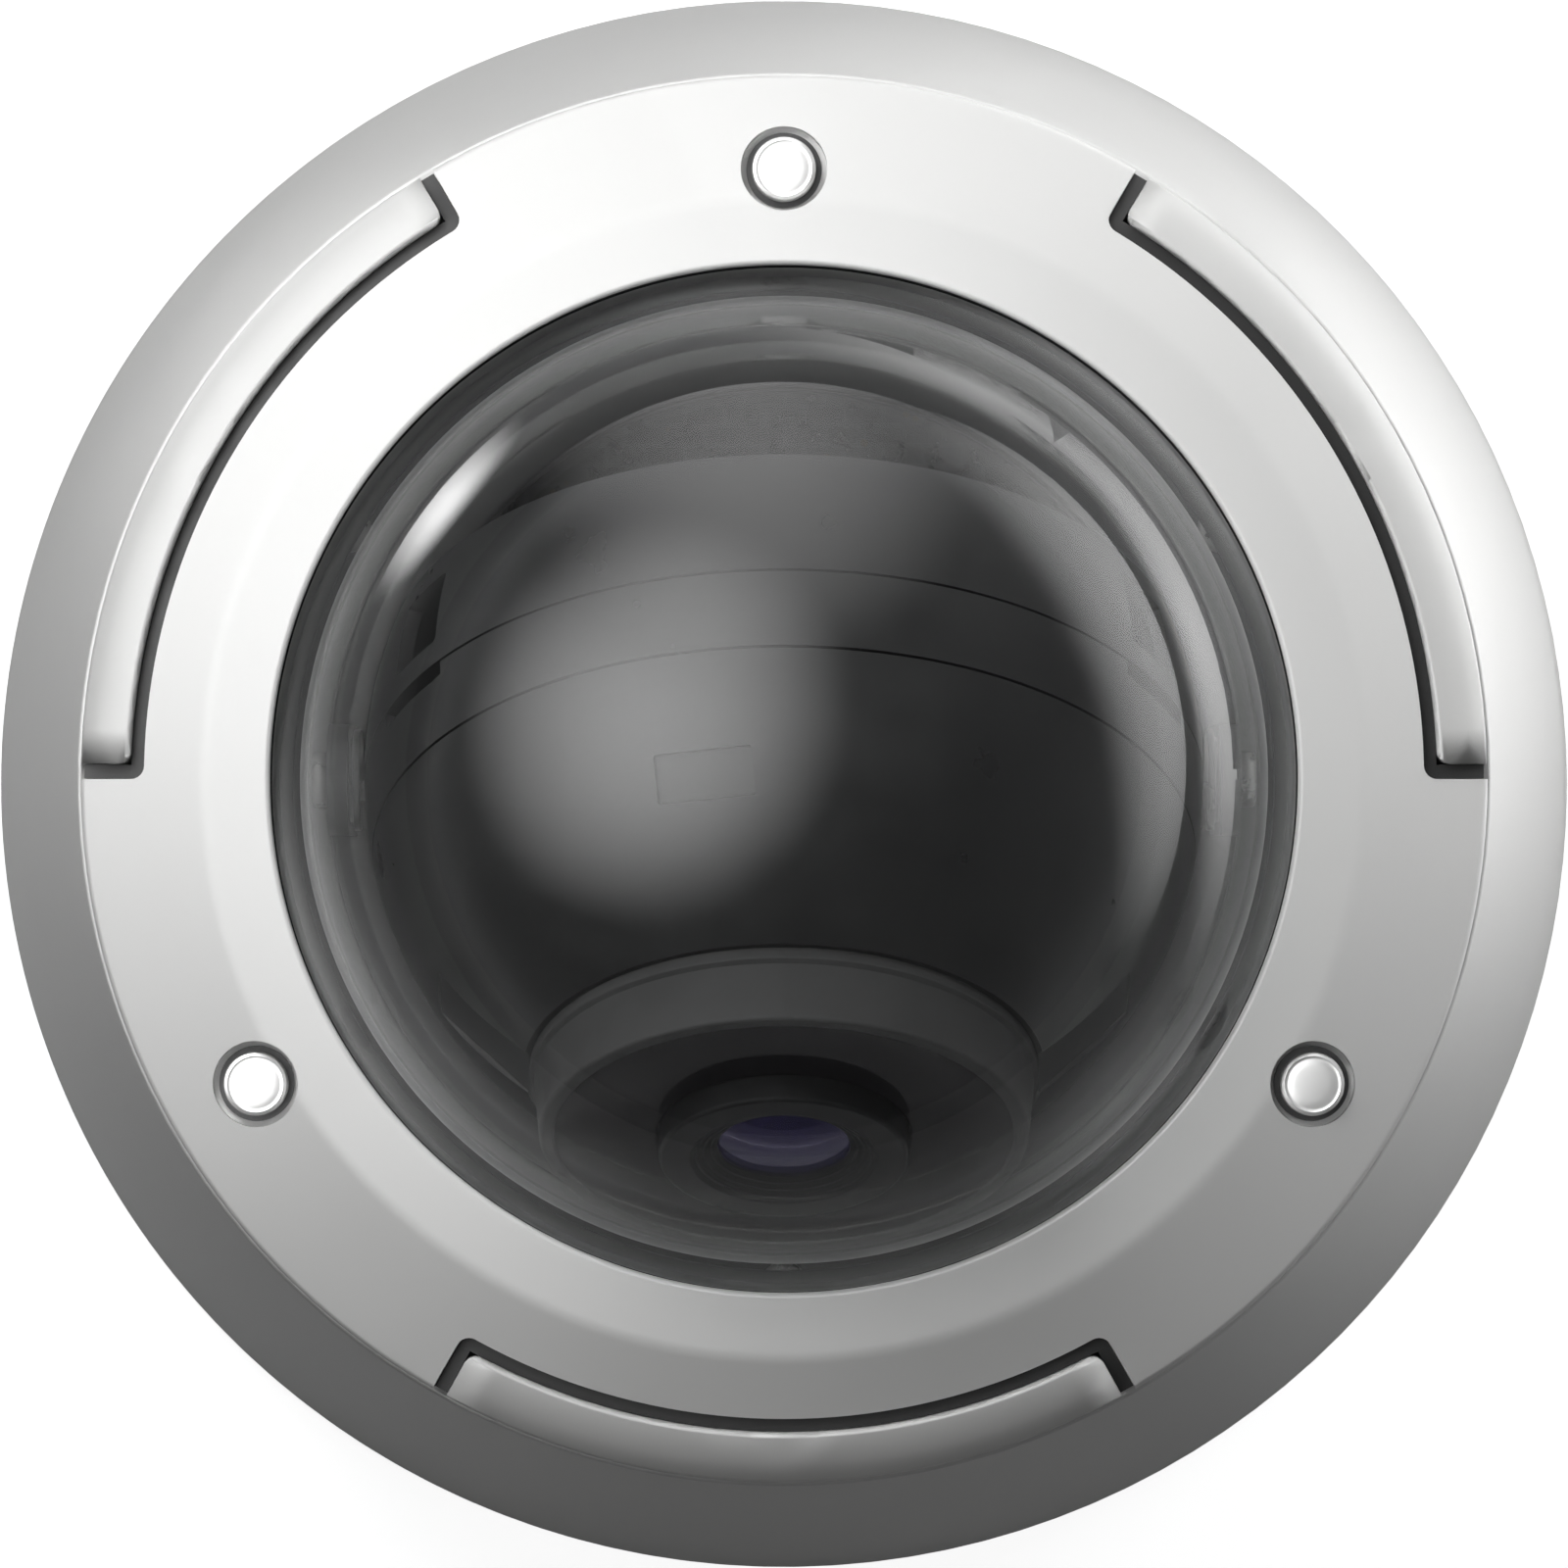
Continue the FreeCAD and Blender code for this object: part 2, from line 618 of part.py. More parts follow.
def make_front_shell():
    sphere_zone = ball_zone(ball_radius, band_front + free_gap, collar_base)
    hollow = Part.makeSphere(ball_radius - shell_wall)
    dome_part = sphere_zone.cut(hollow)
    neck = ring(neck_radius - 1.9, neck_radius, band_back - free_gap, neck_end)
    seat = ring(nose_radius + 1.8, collar_seat_radius + 1.8, collar_base - 1.8, collar_base)
    body = joined([dome_part, neck, seat])
    for angle in screw_angles:
        place = polar(shell_boss_circle, angle)
        boss = rod(shell_boss_radius, -rear_depth + shell_wall, band_front, place.x, place.y)
        body = body.fuse(boss)
    for angle in screw_angles:
        place = polar(shell_boss_circle, angle)
        body = body.cut(rod(1.0, -rear_depth, -1, place.x, place.y))
    recess_block = box(-5.2, 5.2, -2.6, 2.6, ball_radius - 1.0, ball_radius + 3)
    recess = moved(turned(recess_block, -60.8, X_AXIS), CENTRE)
    body = body.cut(turned(recess, 12))
    for side in (0, 180):
        relief = turned(box(-7, 7, -4.5, 4.5, ball_radius - 0.9, ball_radius + 3), 45.5, Y_AXIS)
        body = body.cut(turned(relief, side))
    return on_lens_axis(body.removeSplitter())


def make_shell_screws():
    screw = turned(pan_screw(2.0, 1.3, 1.0, 10.0), 180, X_AXIS)
    places = [polar(shell_boss_circle, a, -rear_depth) for a in screw_angles]
    return on_lens_axis(Part.makeCompound([moved(screw, p) for p in places]))


def make_collar():
    return on_lens_axis(lathe([
        (collar_inner_radius, collar_base), (collar_base_radius, collar_base),
        (collar_base_radius, collar_base + 1.2, 0.3), (collar_base_radius - 0.5, collar_base + 1.6),
        (collar_face_radius, face_distance, 0.5), (collar_inner_radius, face_distance, 0.3)]))


def make_front_window():
    disc = ring(nose_radius + 2 * run_gap, collar_inner_radius, face_distance - window_thickness - 0.2,
                face_distance - 0.2)
    return on_lens_axis(disc)


def make_led_board():
    board = ring(nose_radius + 1.0, collar_inner_radius - 0.4, collar_base + 1.2, collar_base + 2.4)
    legs = [rod(1.2, collar_base, collar_base + 1.2, p.x, p.y) for p in (polar(21.5, a) for a in tab_angles)]
    return on_lens_axis(joined([board] + legs))


def make_infrared_leds():
    leds = []
    for i in range(8):
        place = polar(18.8, 22.5 + 45 * i, collar_base + 2.4)
        case = turned(box(-1.7, 1.7, -1.7, 1.7, 0, 1.0), 22.5 + 45 * i)
        bead = Part.makeSphere(1.3, Vector(0, 0, 0.9)).common(box(-2, 2, -2, 2, 0.5, 3))
        leds.append(moved(joined([case, bead]), place))
    return on_lens_axis(Part.makeCompound(leds))


def make_light_baffle():
    front = face_distance - window_thickness - 0.2
    return on_lens_axis(ring(nose_radius + 0.3, nose_radius + 1.0, collar_base + 1.2, front))


def make_sensor_board():
    board = box(-19, 19, -19, 19, -9.2, -7.6)
    for x in (-15, 15):
        for y in (-15, 15):
            board = board.cut(rod(1.1, -9.2, -7.6, x, y))
    return on_lens_axis(board)


def make_sensor_screws():
    screw = pan_screw(1.8, 1.2, 0.9, 4.2)
    places = [Vector(x, y, -7.6) for x in (-15, 15) for y in (-15, 15)]
    return on_lens_axis(Part.makeCompound([moved(screw, p) for p in places]))


def make_image_sensor():
    case = box(-5.5, 5.5, -4.5, 4.5, -7.6, -6.2)
    return on_lens_axis(case)


def make_filter_housing():
    block = box(-15.5, 15.5, -9, 9, -7.6, barrel_back)
    block = block.cut(box(-6, 6, -5, 5, -8, barrel_back + 1))
    slot_end = filter_start + filter_length + filter_travel + 0.3
    slot = box(filter_start - 0.3, slot_end, -5.4, 5.4, filter_slot_z0, filter_slot_z1)
    for x in (-15, 15):
        for y in (-15, 15):
            block = block.cut(rod(2.6, -8, -5, x, y))
    return on_lens_axis(block.cut(slot))


def make_cut_filter():
    z0 = filter_slot_z0 + 0.2
    z1 = filter_slot_z1 - 0.2
    return on_lens_axis(box(filter_start, filter_start + filter_length, -5.2, 5.2, z0, z1))


def make_lens_barrel():
    inner = barrel_radius - barrel_wall
    body = lathe([
        (6.4, barrel_back), (barrel_radius + 1.5, barrel_back), (barrel_radius + 1.5, barrel_back + 2.5, 0.4),
        (barrel_radius, barrel_back + 2.5), (barrel_radius, barrel_front, 0.3), (inner, barrel_front, 0.3),
        (inner, barrel_front - 19.0), (6.4, barrel_front - 19.0)])
    return on_lens_axis(body)


def make_rear_glass():
    return on_lens_axis(rod(6.4, 7.0, 10.5))


def make_front_cell():
    tube = barrel_radius - barrel_wall - run_gap
    tube_back = barrel_front - 13.0
    back = barrel_front + zoom_travel + run_gap
    body = lathe([
        (lens_glass_radius + 0.4, tube_back), (tube, tube_back), (tube, back), (nose_radius, back, 0.4),
        (nose_radius, nose_front, 0.5), (nose_cone_radius, nose_front, 0.2),
        (lens_glass_radius, nose_front - 1.6), (lens_glass_radius, nose_front - 1.9),
        (lens_glass_radius + 0.4, nose_front - 1.9)])
    return on_lens_axis(body)


def make_front_glass():
    edge = nose_front - 1.9
    ball = Part.makeSphere(18.0, Vector(0, 0, edge + 1.4 - 18.0))
    bulge = ball.common(rod(lens_glass_radius, edge, edge + 3))
    return on_lens_axis(joined([rod(lens_glass_radius + 0.4, edge - 3.0, edge), bulge]))


def make_cover():
    body = lathe([
        (housing_top_radius - 0.6, shelf_z + seat_gap), (cover_edge_radius, edge_z, 0.9),
        (cover_ridge_radius, ridge_z, 6.0), (cover_lip_radius, lip_z, 0.5),
        (cover_lip_radius, lip_z - cover_lip_thickness, 0.4),
        (cover_bore_radius, lip_z - cover_lip_thickness), (cover_bore_radius, seat_z),
        (neck_bore_radius, seat_z), (neck_bore_radius, shelf_z - neck_depth),
        (neck_outer_radius, shelf_z - neck_depth, 0.4), (neck_outer_radius, shelf_z + seat_gap)])
    hollow = lathe([
        (tab_inner_radius - 0.2, shelf_z - 1), (cover_edge_radius - cover_skirt_wall, shelf_z - 1),
        (cover_edge_radius - cover_skirt_wall, edge_z - 2.0), (tab_inner_radius - 0.2, edge_z - 0.4)])
    body = body.cut(hollow)
    notch = notch_tool(tab_inner_radius - tab_seam, tab_half_angle + 1.0, shelf_z, lip_z)
    outer = rod(cover_edge_radius + 3, shelf_z, lip_z + 1)
    for angle in tab_angles:
        body = body.cut(turned(notch.common(outer), angle))
    for angle in screw_angles:
        place = polar(screw_circle_radius, angle)
        floor = shelf_z + screw_recess_floor
        body = body.cut(rod(screw_recess_radius, floor, lip_z + 1, place.x, place.y))
        body = body.cut(rod(screw_thread_radius + 2 * run_gap, shelf_z - 1, floor + 1, place.x, place.y))
        inner = polar(cover_bore_radius - 1, angle, retainer_z)
        spot = polar(cover_bore_radius + 0.35, angle, retainer_z)
        body = body.cut(rod_between(inner, spot, retainer_head_radius + 1.1))
        body = body.cut(rod_between(inner, polar(screw_circle_radius, angle, retainer_z), 1.5))
    groove_z0 = cover_seal_z - cover_seal_height / 2
    groove_z1 = cover_seal_z + cover_seal_height / 2
    body = body.cut(ring(neck_outer_radius - cover_seal_depth, neck_outer_radius + 1, groove_z0, groove_z1))
    top = lip_z - cover_lip_thickness
    nibs = [turned(box(cover_bore_radius - 0.8, cover_bore_radius + 0.5, -0.5, 0.5, top - 1.6, top + 0.3), a)
            for a in nib_angles]
    return body.fuse(nibs).removeSplitter()


def make_cover_seal():
    return ring(neck_outer_radius - cover_seal_depth, housing_bore_radius - run_gap,
                cover_seal_z - cover_seal_height / 2, cover_seal_z + cover_seal_height / 2)


def make_screw_retainers():
    pieces = []
    tip_end = screw_circle_radius - screw_neck_radius - 2 * run_gap
    for angle in screw_angles:
        screw = pan_screw(retainer_head_radius, retainer_head_height, 1.5, 5.0)
        tip = rod(0.9, -(tip_end - cover_bore_radius - 0.35), -4.9)
        screw = turned(screw.fuse(tip), -90, Y_AXIS)
        pieces.append(turned(moved(screw, Vector(cover_bore_radius + 0.35, 0, retainer_z)), angle))
    return Part.makeCompound(pieces)


def make_dome():
    flange_top = seat_z - dome_gasket_thickness
    flange_bottom = flange_top - dome_flange_thickness
    inner = dome_radius - dome_wall
    outer_r = neck_bore_radius - 0.2
    half = math.sqrt(0.5)
    centre = Vector(0, 0, dome_centre_z)

    def quarter(radius):
        start = Vector(radius, 0, dome_centre_z)
        middle = centre.add(Vector(radius * half, 0, radius * half))
        return Part.Arc(start, middle, centre.add(Vector(0, 0, radius))).toShape()

    corners = [(dome_radius, dome_centre_z), (dome_radius, flange_top), (outer_r, flange_top),
               (outer_r, flange_bottom), (inner, flange_bottom), (inner, dome_centre_z)]
    points = [Vector(r, 0, z) for r, z in corners]
    edges = [Part.LineSegment(a, b).toShape() for a, b in zip(points, points[1:])]
    wall_bottom = centre.add(Vector(0, 0, inner))
    wall_top = centre.add(Vector(0, 0, dome_radius))
    edges += [quarter(inner), Part.LineSegment(wall_bottom, wall_top).toShape(), quarter(dome_radius)]
    face = Part.Face(Part.Wire(Part.__sortEdges__(edges)))
    return face.revolve(CENTRE, Z_AXIS, 360)


def make_dome_gasket():
    return ring(dome_radius + 0.5, neck_bore_radius - 0.2, seat_z - dome_gasket_thickness, seat_z)


def make_dome_ring():
    top = seat_z - dome_gasket_thickness - dome_flange_thickness
    body = ring(dome_radius - dome_wall + 1.0, neck_bore_radius, top - dome_ring_thickness, top)
    for i in range(4):
        slot = turned(box(dome_radius - dome_wall, dome_radius, -2, 2, top - 4, top - 1), 45 + 90 * i)
        body = body.cut(slot)
    return body


def make_cover_screw(angle):
    bottom = screw_thread_bottom()
    head_z = screw_head_bottom()
    thread_end = bottom + screw_thread_length
    body = lathe([
        (0, bottom), (screw_thread_radius, bottom, 0.6), (screw_thread_radius, thread_end, 0.3),
        (screw_neck_radius, thread_end + 0.4), (screw_neck_radius, head_z),
        (screw_head_radius, head_z), (screw_head_radius, head_z + screw_head_height, 0.35),
        (0, head_z + screw_head_height)])
    return moved(body, polar(screw_circle_radius, angle))


def make_screw_washer(angle):
    floor = shelf_z + screw_recess_floor
    disc = ring(screw_neck_radius + run_gap, screw_head_radius + 0.6, floor + seat_gap,
                floor + screw_washer_thickness - seat_gap)
    return moved(disc, polar(screw_circle_radius, angle))


def build():
    parts = {
        "housing": make_housing(),
        "base_gasket": make_base_gasket(),
        "mounting_bracket": make_bracket(),
        "cable_gland": make_gland(),
        "main_board": make_main_board(),
        "board_screws": make_board_screws(),
        "network_socket": make_network_socket(),
        "power_terminal": make_power_terminal(),
        "card_slot": make_card_slot(),
        "memory_card": make_memory_card(),
        "reset_button_body": make_button_body(),
        "reset_button": make_button(),
        "status_led": make_status_led(),
        "board_chips": make_chips(),
        "desiccant_pack": make_desiccant(),
        "chassis_ring": make_chassis_ring(),
        "pan_retainer": make_pan_retainer(),
        "chassis_screws": make_chassis_screws(),
        "pan_ring": make_pan_ring(),
        "yoke_arm_right": make_yoke_arm(1),
        "yoke_arm_left": make_yoke_arm(-1),
        "tilt_ring": make_tilt_ring(),
        "friction_washers": make_friction_washers(),
        "pivot_screws": make_pivot_screws(),
        "rear_shell": make_rear_shell(),
        "front_shell": make_front_shell(),
        "shell_screws": make_shell_screws(),
        "lens_collar": make_collar(),
        "front_window": make_front_window(),
        "led_board": make_led_board(),
        "infrared_leds": make_infrared_leds(),
        "light_baffle": make_light_baffle(),
        "sensor_board": make_sensor_board(),
        "sensor_screws": make_sensor_screws(),
        "image_sensor": make_image_sensor(),
        "filter_housing": make_filter_housing(),
        "infrared_cut_filter": make_cut_filter(),
        "lens_barrel": make_lens_barrel(),
        "rear_lens": make_rear_glass(),
        "zoom_cell": make_front_cell(),
        "front_lens": make_front_glass(),
        "cover": make_cover(),
        "cover_seal": make_cover_seal(),
        "screw_retainers": make_screw_retainers(),
        "clear_dome": make_dome(),
        "dome_gasket": make_dome_gasket(),
        "dome_clamp_ring": make_dome_ring(),
    }
    for number, angle in enumerate(screw_angles, start=1):
        parts["cover_screw_%d" % number] = make_cover_screw(angle)
        parts["screw_washer_%d" % number] = make_screw_washer(angle)
    return parts


os.makedirs("parts", exist_ok=True)
for name, shape in build().items():
    solids = shape.Solids
    if not shape.isValid() or not solids:
        raise ValueError(name + " is not a valid solid")
    print(name, len(solids), round(shape.Volume / 1000, 2), "cm3")
    whole = solids[0] if len(solids) == 1 else Part.makeCompound(solids)
    whole.exportStep("parts/" + name + ".step")
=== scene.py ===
import json
from math import atan2, cos, hypot, pi, radians, sin, sqrt, tan, tau

import bmesh
import bpy
from mathutils import Matrix, Vector


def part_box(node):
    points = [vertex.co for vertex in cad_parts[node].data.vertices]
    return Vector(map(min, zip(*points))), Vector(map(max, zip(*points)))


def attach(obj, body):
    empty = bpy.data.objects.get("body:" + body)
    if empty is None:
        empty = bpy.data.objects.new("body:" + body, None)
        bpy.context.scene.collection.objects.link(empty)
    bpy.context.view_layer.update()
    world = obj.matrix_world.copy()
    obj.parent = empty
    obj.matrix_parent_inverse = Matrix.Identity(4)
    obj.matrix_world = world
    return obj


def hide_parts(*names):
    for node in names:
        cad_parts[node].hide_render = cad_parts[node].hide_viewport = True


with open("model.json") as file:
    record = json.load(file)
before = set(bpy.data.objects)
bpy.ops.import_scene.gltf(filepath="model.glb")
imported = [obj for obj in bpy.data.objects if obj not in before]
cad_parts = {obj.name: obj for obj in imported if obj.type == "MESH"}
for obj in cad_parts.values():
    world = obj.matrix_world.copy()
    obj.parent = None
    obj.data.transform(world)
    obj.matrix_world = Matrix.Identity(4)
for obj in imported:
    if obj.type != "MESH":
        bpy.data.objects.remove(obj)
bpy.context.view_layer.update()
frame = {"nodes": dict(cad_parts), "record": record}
scene = bpy.context.scene

mm = 0.001
record = frame["record"]
bodyOf = {node: body for body, nodes in record["behaviour"]["bodies"].items() for node in nodes}
slotOf = {part["node"]: part["material_slot"] for part in record["subparts"]}
jointOf = {joint["name"]: joint for joint in record["behaviour"]["joints"]}

# heights and places that several pieces share, in millimetres
ballCentre = Vector(jointOf["tilt"]["pos_m"]) / mm
lensAxis = Vector(jointOf["roll"]["axis"]).normalized()
lensTurn = Vector((0, 0, 1)).rotation_difference(lensAxis).to_matrix()
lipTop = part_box("cover")[1].z / mm
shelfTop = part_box("cover")[0].z / mm + 12.6
screwNumbers = (1, 2, 3)
screwPlaces = {n: Vector(jointOf["screw_%d_turn" % n]["pos_m"]) / mm for n in screwNumbers}
tabAngles = (30, 150, 270)


def newMaterial(name):
    material = bpy.data.materials.new(name)
    material.use_nodes = True
    tree = material.node_tree
    return material, tree, tree.nodes["Principled BSDF"]


def objectPoint(tree, stretch=(1, 1, 1)):
    # every pattern sits on the object's own coordinates, in metres
    source = tree.nodes.new("ShaderNodeTexCoord")
    mapping = tree.nodes.new("ShaderNodeMapping")
    mapping.inputs["Scale"].default_value = stretch
    tree.links.new(source.outputs["Object"], mapping.inputs["Vector"])
    return mapping.outputs["Vector"]


def noise(tree, point, size, detail=3, roughness=0.55):
    # size is the width of one speck, in millimetres
    node = tree.nodes.new("ShaderNodeTexNoise")
    node.inputs["Scale"].default_value = 1 / (size * mm)
    node.inputs["Detail"].default_value = detail
    node.inputs["Roughness"].default_value = roughness
    tree.links.new(point, node.inputs["Vector"])
    return node.outputs["Fac"]


def mapped(tree, value, low, high, fromLow=0.3, fromHigh=0.7):
    node = tree.nodes.new("ShaderNodeMapRange")
    node.inputs["From Min"].default_value = fromLow
    node.inputs["From Max"].default_value = fromHigh
    node.inputs["To Min"].default_value = low
    node.inputs["To Max"].default_value = high
    tree.links.new(value, node.inputs["Value"])
    return node.outputs["Result"]


def colourBetween(tree, factor, first, second):
    node = tree.nodes.new("ShaderNodeMix")
    node.data_type = "RGBA"
    node.inputs["A"].default_value = (*first, 1)
    node.inputs["B"].default_value = (*second, 1)
    tree.links.new(factor, node.inputs["Factor"])
    return node.outputs["Result"]


def bumpFrom(tree, height, strength, depth):
    # depth is the height of the relief, in millimetres
    node = tree.nodes.new("ShaderNodeBump")
    node.inputs["Strength"].default_value = strength
    node.inputs["Distance"].default_value = depth * mm
    tree.links.new(height, node.inputs["Height"])
    return node.outputs["Normal"]


def grained(name, dark, light, rough, patch=12.0, grain=0.5, depth=0.02, strength=0.35, metal=0.0, spec=0.5):
    # an even moulded or painted surface: slow colour drift, fine grain in relief and gloss
    material, tree, shader = newMaterial(name)
    point = objectPoint(tree)
    drift = noise(tree, point, patch, 4)
    fine = noise(tree, point, grain, 2)
    tree.links.new(colourBetween(tree, drift, dark, light), shader.inputs["Base Color"])
    tree.links.new(mapped(tree, drift, rough[0], rough[1]), shader.inputs["Roughness"])
    tree.links.new(bumpFrom(tree, fine, strength, depth), shader.inputs["Normal"])
    shader.inputs["Metallic"].default_value = metal
    shader.inputs["Specular IOR Level"].default_value = spec
    return material


def turnedSteel(name, dark, light, rough, metal=1.0):
    # lathe-turned or rolled steel: fine streaks and faint scuffs
    material, tree, shader = newMaterial(name)
    streak = noise(tree, objectPoint(tree, (1, 1, 12)), 0.6, 2)
    scuff = noise(tree, objectPoint(tree), 4.0, 6, 0.7)
    tree.links.new(colourBetween(tree, scuff, dark, light), shader.inputs["Base Color"])
    tree.links.new(mapped(tree, scuff, rough[0], rough[1]), shader.inputs["Roughness"])
    tree.links.new(bumpFrom(tree, streak, 0.25, 0.01), shader.inputs["Normal"])
    shader.inputs["Metallic"].default_value = metal
    return material


def circuitBoardFinish():
    # black mask over copper: raised tracks, plated dots and a faint fibre weave
    material, tree, shader = newMaterial("blackCircuitBoard")
    point = objectPoint(tree)
    tracks = tree.nodes.new("ShaderNodeTexBrick")
    tracks.inputs["Scale"].default_value = 1 / (9.0 * mm)
    tracks.inputs["Mortar Size"].default_value = 0.03
    tracks.inputs["Mortar Smooth"].default_value = 0.1
    tracks.inputs["Color1"].default_value = (0, 0, 0, 1)
    tracks.inputs["Color2"].default_value = (0, 0, 0, 1)
    tracks.inputs["Mortar"].default_value = (1, 1, 1, 1)
    tree.links.new(point, tracks.inputs["Vector"])
    dots = tree.nodes.new("ShaderNodeTexVoronoi")
    dots.inputs["Scale"].default_value = 1 / (3.2 * mm)
    tree.links.new(point, dots.inputs["Vector"])
    plated = mapped(tree, dots.outputs["Distance"], 1.0, 0.0, 0.12, 0.16)
    mask = colourBetween(tree, tracks.outputs["Color"], (0.010, 0.011, 0.012), (0.022, 0.024, 0.026))
    pads = tree.nodes.new("ShaderNodeMix")
    pads.data_type = "RGBA"
    pads.inputs["B"].default_value = (0.060, 0.050, 0.032, 1)
    tree.links.new(plated, pads.inputs["Factor"])
    tree.links.new(mask, pads.inputs["A"])
    tree.links.new(pads.outputs["Result"], shader.inputs["Base Color"])
    tree.links.new(plated, shader.inputs["Metallic"])
    tree.links.new(mapped(tree, noise(tree, point, 2.0), 0.24, 0.40), shader.inputs["Roughness"])
    tree.links.new(bumpFrom(tree, tracks.outputs["Color"], 0.4, 0.03), shader.inputs["Normal"])
    return material


def clearShellFinish(name, tint, ior, coat, rough, rim=0.0):
    # light passes straight through a thin even wall, and both its faces reflect
    material, tree, shader = newMaterial(name)
    point = objectPoint(tree)
    haze = noise(tree, point, 20.0, 4)
    hazed = tuple(c * 0.985 for c in tint)
    tree.links.new(colourBetween(tree, haze, tint, hazed), shader.inputs["Base Color"])
    shader.inputs["Roughness"].default_value = rough
    shader.inputs["Transmission Weight"].default_value = 1.0
    shader.inputs["IOR"].default_value = ior
    shader.inputs["Coat Weight"].default_value = coat
    shader.inputs["Coat IOR"].default_value = 1.586
    shader.inputs["Coat Roughness"].default_value = 0.015
    shader.inputs["Sheen Weight"].default_value = rim
    shader.inputs["Sheen Roughness"].default_value = 0.28
    letThrough = tree.nodes.new("ShaderNodeBsdfTransparent")
    letThrough.inputs["Color"].default_value = (*tint, 1)
    path = tree.nodes.new("ShaderNodeLightPath")
    choice = tree.nodes.new("ShaderNodeMixShader")
    tree.links.new(path.outputs["Is Shadow Ray"], choice.inputs["Fac"])
    tree.links.new(shader.outputs["BSDF"], choice.inputs[1])
    tree.links.new(letThrough.outputs["BSDF"], choice.inputs[2])
    tree.links.new(choice.outputs["Shader"], tree.nodes["Material Output"].inputs["Surface"])
    return material


def coatedLensFinish():
    # dark optical glass with a violet anti-reflection coating; its base colour turns lighter and bluer where
    # the surface turns away from the view, a painted sheen of the coating's reflection
    material, tree, shader = newMaterial("violetLensGlass")
    point = objectPoint(tree)
    edge = tree.nodes.new("ShaderNodeLayerWeight")
    edge.inputs["Blend"].default_value = 0.35
    facing = mapped(tree, edge.outputs["Facing"], 0.0, 1.0, 0.0, 1.0)
    # the lighter, bluer colour at grazing view is a painted sheen of the coating, not a colour of the glass
    violetAndPaintedSheen = colourBetween(tree, facing, (0.018, 0.014, 0.050), (0.040, 0.034, 0.11))
    tree.links.new(violetAndPaintedSheen, shader.inputs["Base Color"])
    tree.links.new(mapped(tree, noise(tree, point, 6.0), 0.03, 0.07), shader.inputs["Roughness"])
    shader.inputs["Specular IOR Level"].default_value = 0.9
    shader.inputs["Specular Tint"].default_value = (0.70, 0.62, 1.0, 1)
    shader.inputs["Coat Weight"].default_value = 1.0
    shader.inputs["Coat Roughness"].default_value = 0.02
    shader.inputs["Coat Tint"].default_value = (0.86, 0.82, 1.0, 1)
    return material


def paperFinish():
    material, tree, shader = newMaterial("desiccantPaper")
    point = objectPoint(tree)
    fibre = noise(tree, objectPoint(tree, (1, 1, 6)), 0.5, 5, 0.7)
    cream = colourBetween(tree, noise(tree, point, 3.0), (0.74, 0.74, 0.71), (0.84, 0.84, 0.82))
    tree.links.new(cream, shader.inputs["Base Color"])
    tree.links.new(bumpFrom(tree, fibre, 0.6, 0.08), shader.inputs["Normal"])
    shader.inputs["Roughness"].default_value = 0.9
    return material


finishes = {
    "housing_paint": grained("greyPowderCoat", (0.655, 0.655, 0.648), (0.685, 0.685, 0.678),
        (0.40, 0.48), 30, 0.30, 0.012, 0.30),
    "cover_paint": grained("palePowderCoat", (0.735, 0.735, 0.728), (0.765, 0.765, 0.758),
        (0.36, 0.44), 30, 0.30, 0.012, 0.25),
    "seal_rubber": grained("blackRubber", (0.008, 0.008, 0.008), (0.014, 0.014, 0.014), (0.55, 0.75),
        6, 0.25, 0.03, 0.4),
    "bracket_steel": turnedSteel("galvanisedSteel", (0.50, 0.50, 0.49), (0.64, 0.64, 0.63), (0.30, 0.46)),
    "bright_steel": turnedSteel("polishedSteel", (0.86, 0.86, 0.855), (0.92, 0.92, 0.915),
        (0.16, 0.24), 0.30),
    "screw_steel": turnedSteel("plainScrewSteel", (0.46, 0.46, 0.45), (0.58, 0.58, 0.57), (0.24, 0.36)),
    "circuit_board": circuitBoardFinish(),
    "connector_metal": turnedSteel("tinnedSteel", (0.62, 0.61, 0.58), (0.72, 0.71, 0.68), (0.24, 0.38)),
    "connector_green": grained("greenNylon", (0.030, 0.28, 0.095), (0.040, 0.33, 0.115),
        (0.36, 0.46), 8, 0.3, 0.02),
    "black_plastic": grained("blackNylon", (0.007, 0.007, 0.0075), (0.012, 0.012, 0.0125),
        (0.38, 0.52), 8, 0.35, 0.03),
    "ball_plastic": grained("glossBlackShell", (0.0035, 0.0035, 0.0038), (0.005, 0.005, 0.0053),
        (0.27, 0.35), 14, 0.25, 0.002, 0.08, spec=1.0),
    "dark_grey_plastic": grained("darkGreyShell", (0.016, 0.016, 0.017), (0.022, 0.022, 0.023),
        (0.42, 0.56), 10, 0.40, 0.025),
    "window_plastic": grained("infraredWindow", (0.004, 0.0035, 0.0045), (0.006, 0.005, 0.0065),
        (0.10, 0.14), 10, 0.8, 0.003, 0.1, spec=0.2),
    "button_white": grained("whiteAcetal", (0.68, 0.68, 0.66), (0.74, 0.74, 0.72), (0.30, 0.40),
        4, 0.3, 0.015),
    "desiccant_paper": paperFinish(),
    "lens_glass": coatedLensFinish(),
    "lens_metal": grained("blackAnodised", (0.010, 0.010, 0.0105), (0.016, 0.016, 0.017),
        (0.30, 0.40), 6, 0.2, 0.02, 0.3, metal=0.6),
    "filter_glass": clearShellFinish("cyanFilterGlass", (0.55, 0.86, 0.90), 1.5, 0.0, 0.02),
    "led_plastic": clearShellFinish("clearEpoxy", (0.86, 0.92, 0.90), 1.5, 0.0, 0.05),
    "clear_polycarbonate": clearShellFinish("clearPolycarbonate", (0.95, 0.955, 0.955), 1.0, 0.55, 0.0, 1.0),
}
print("materials ready:", len(finishes))


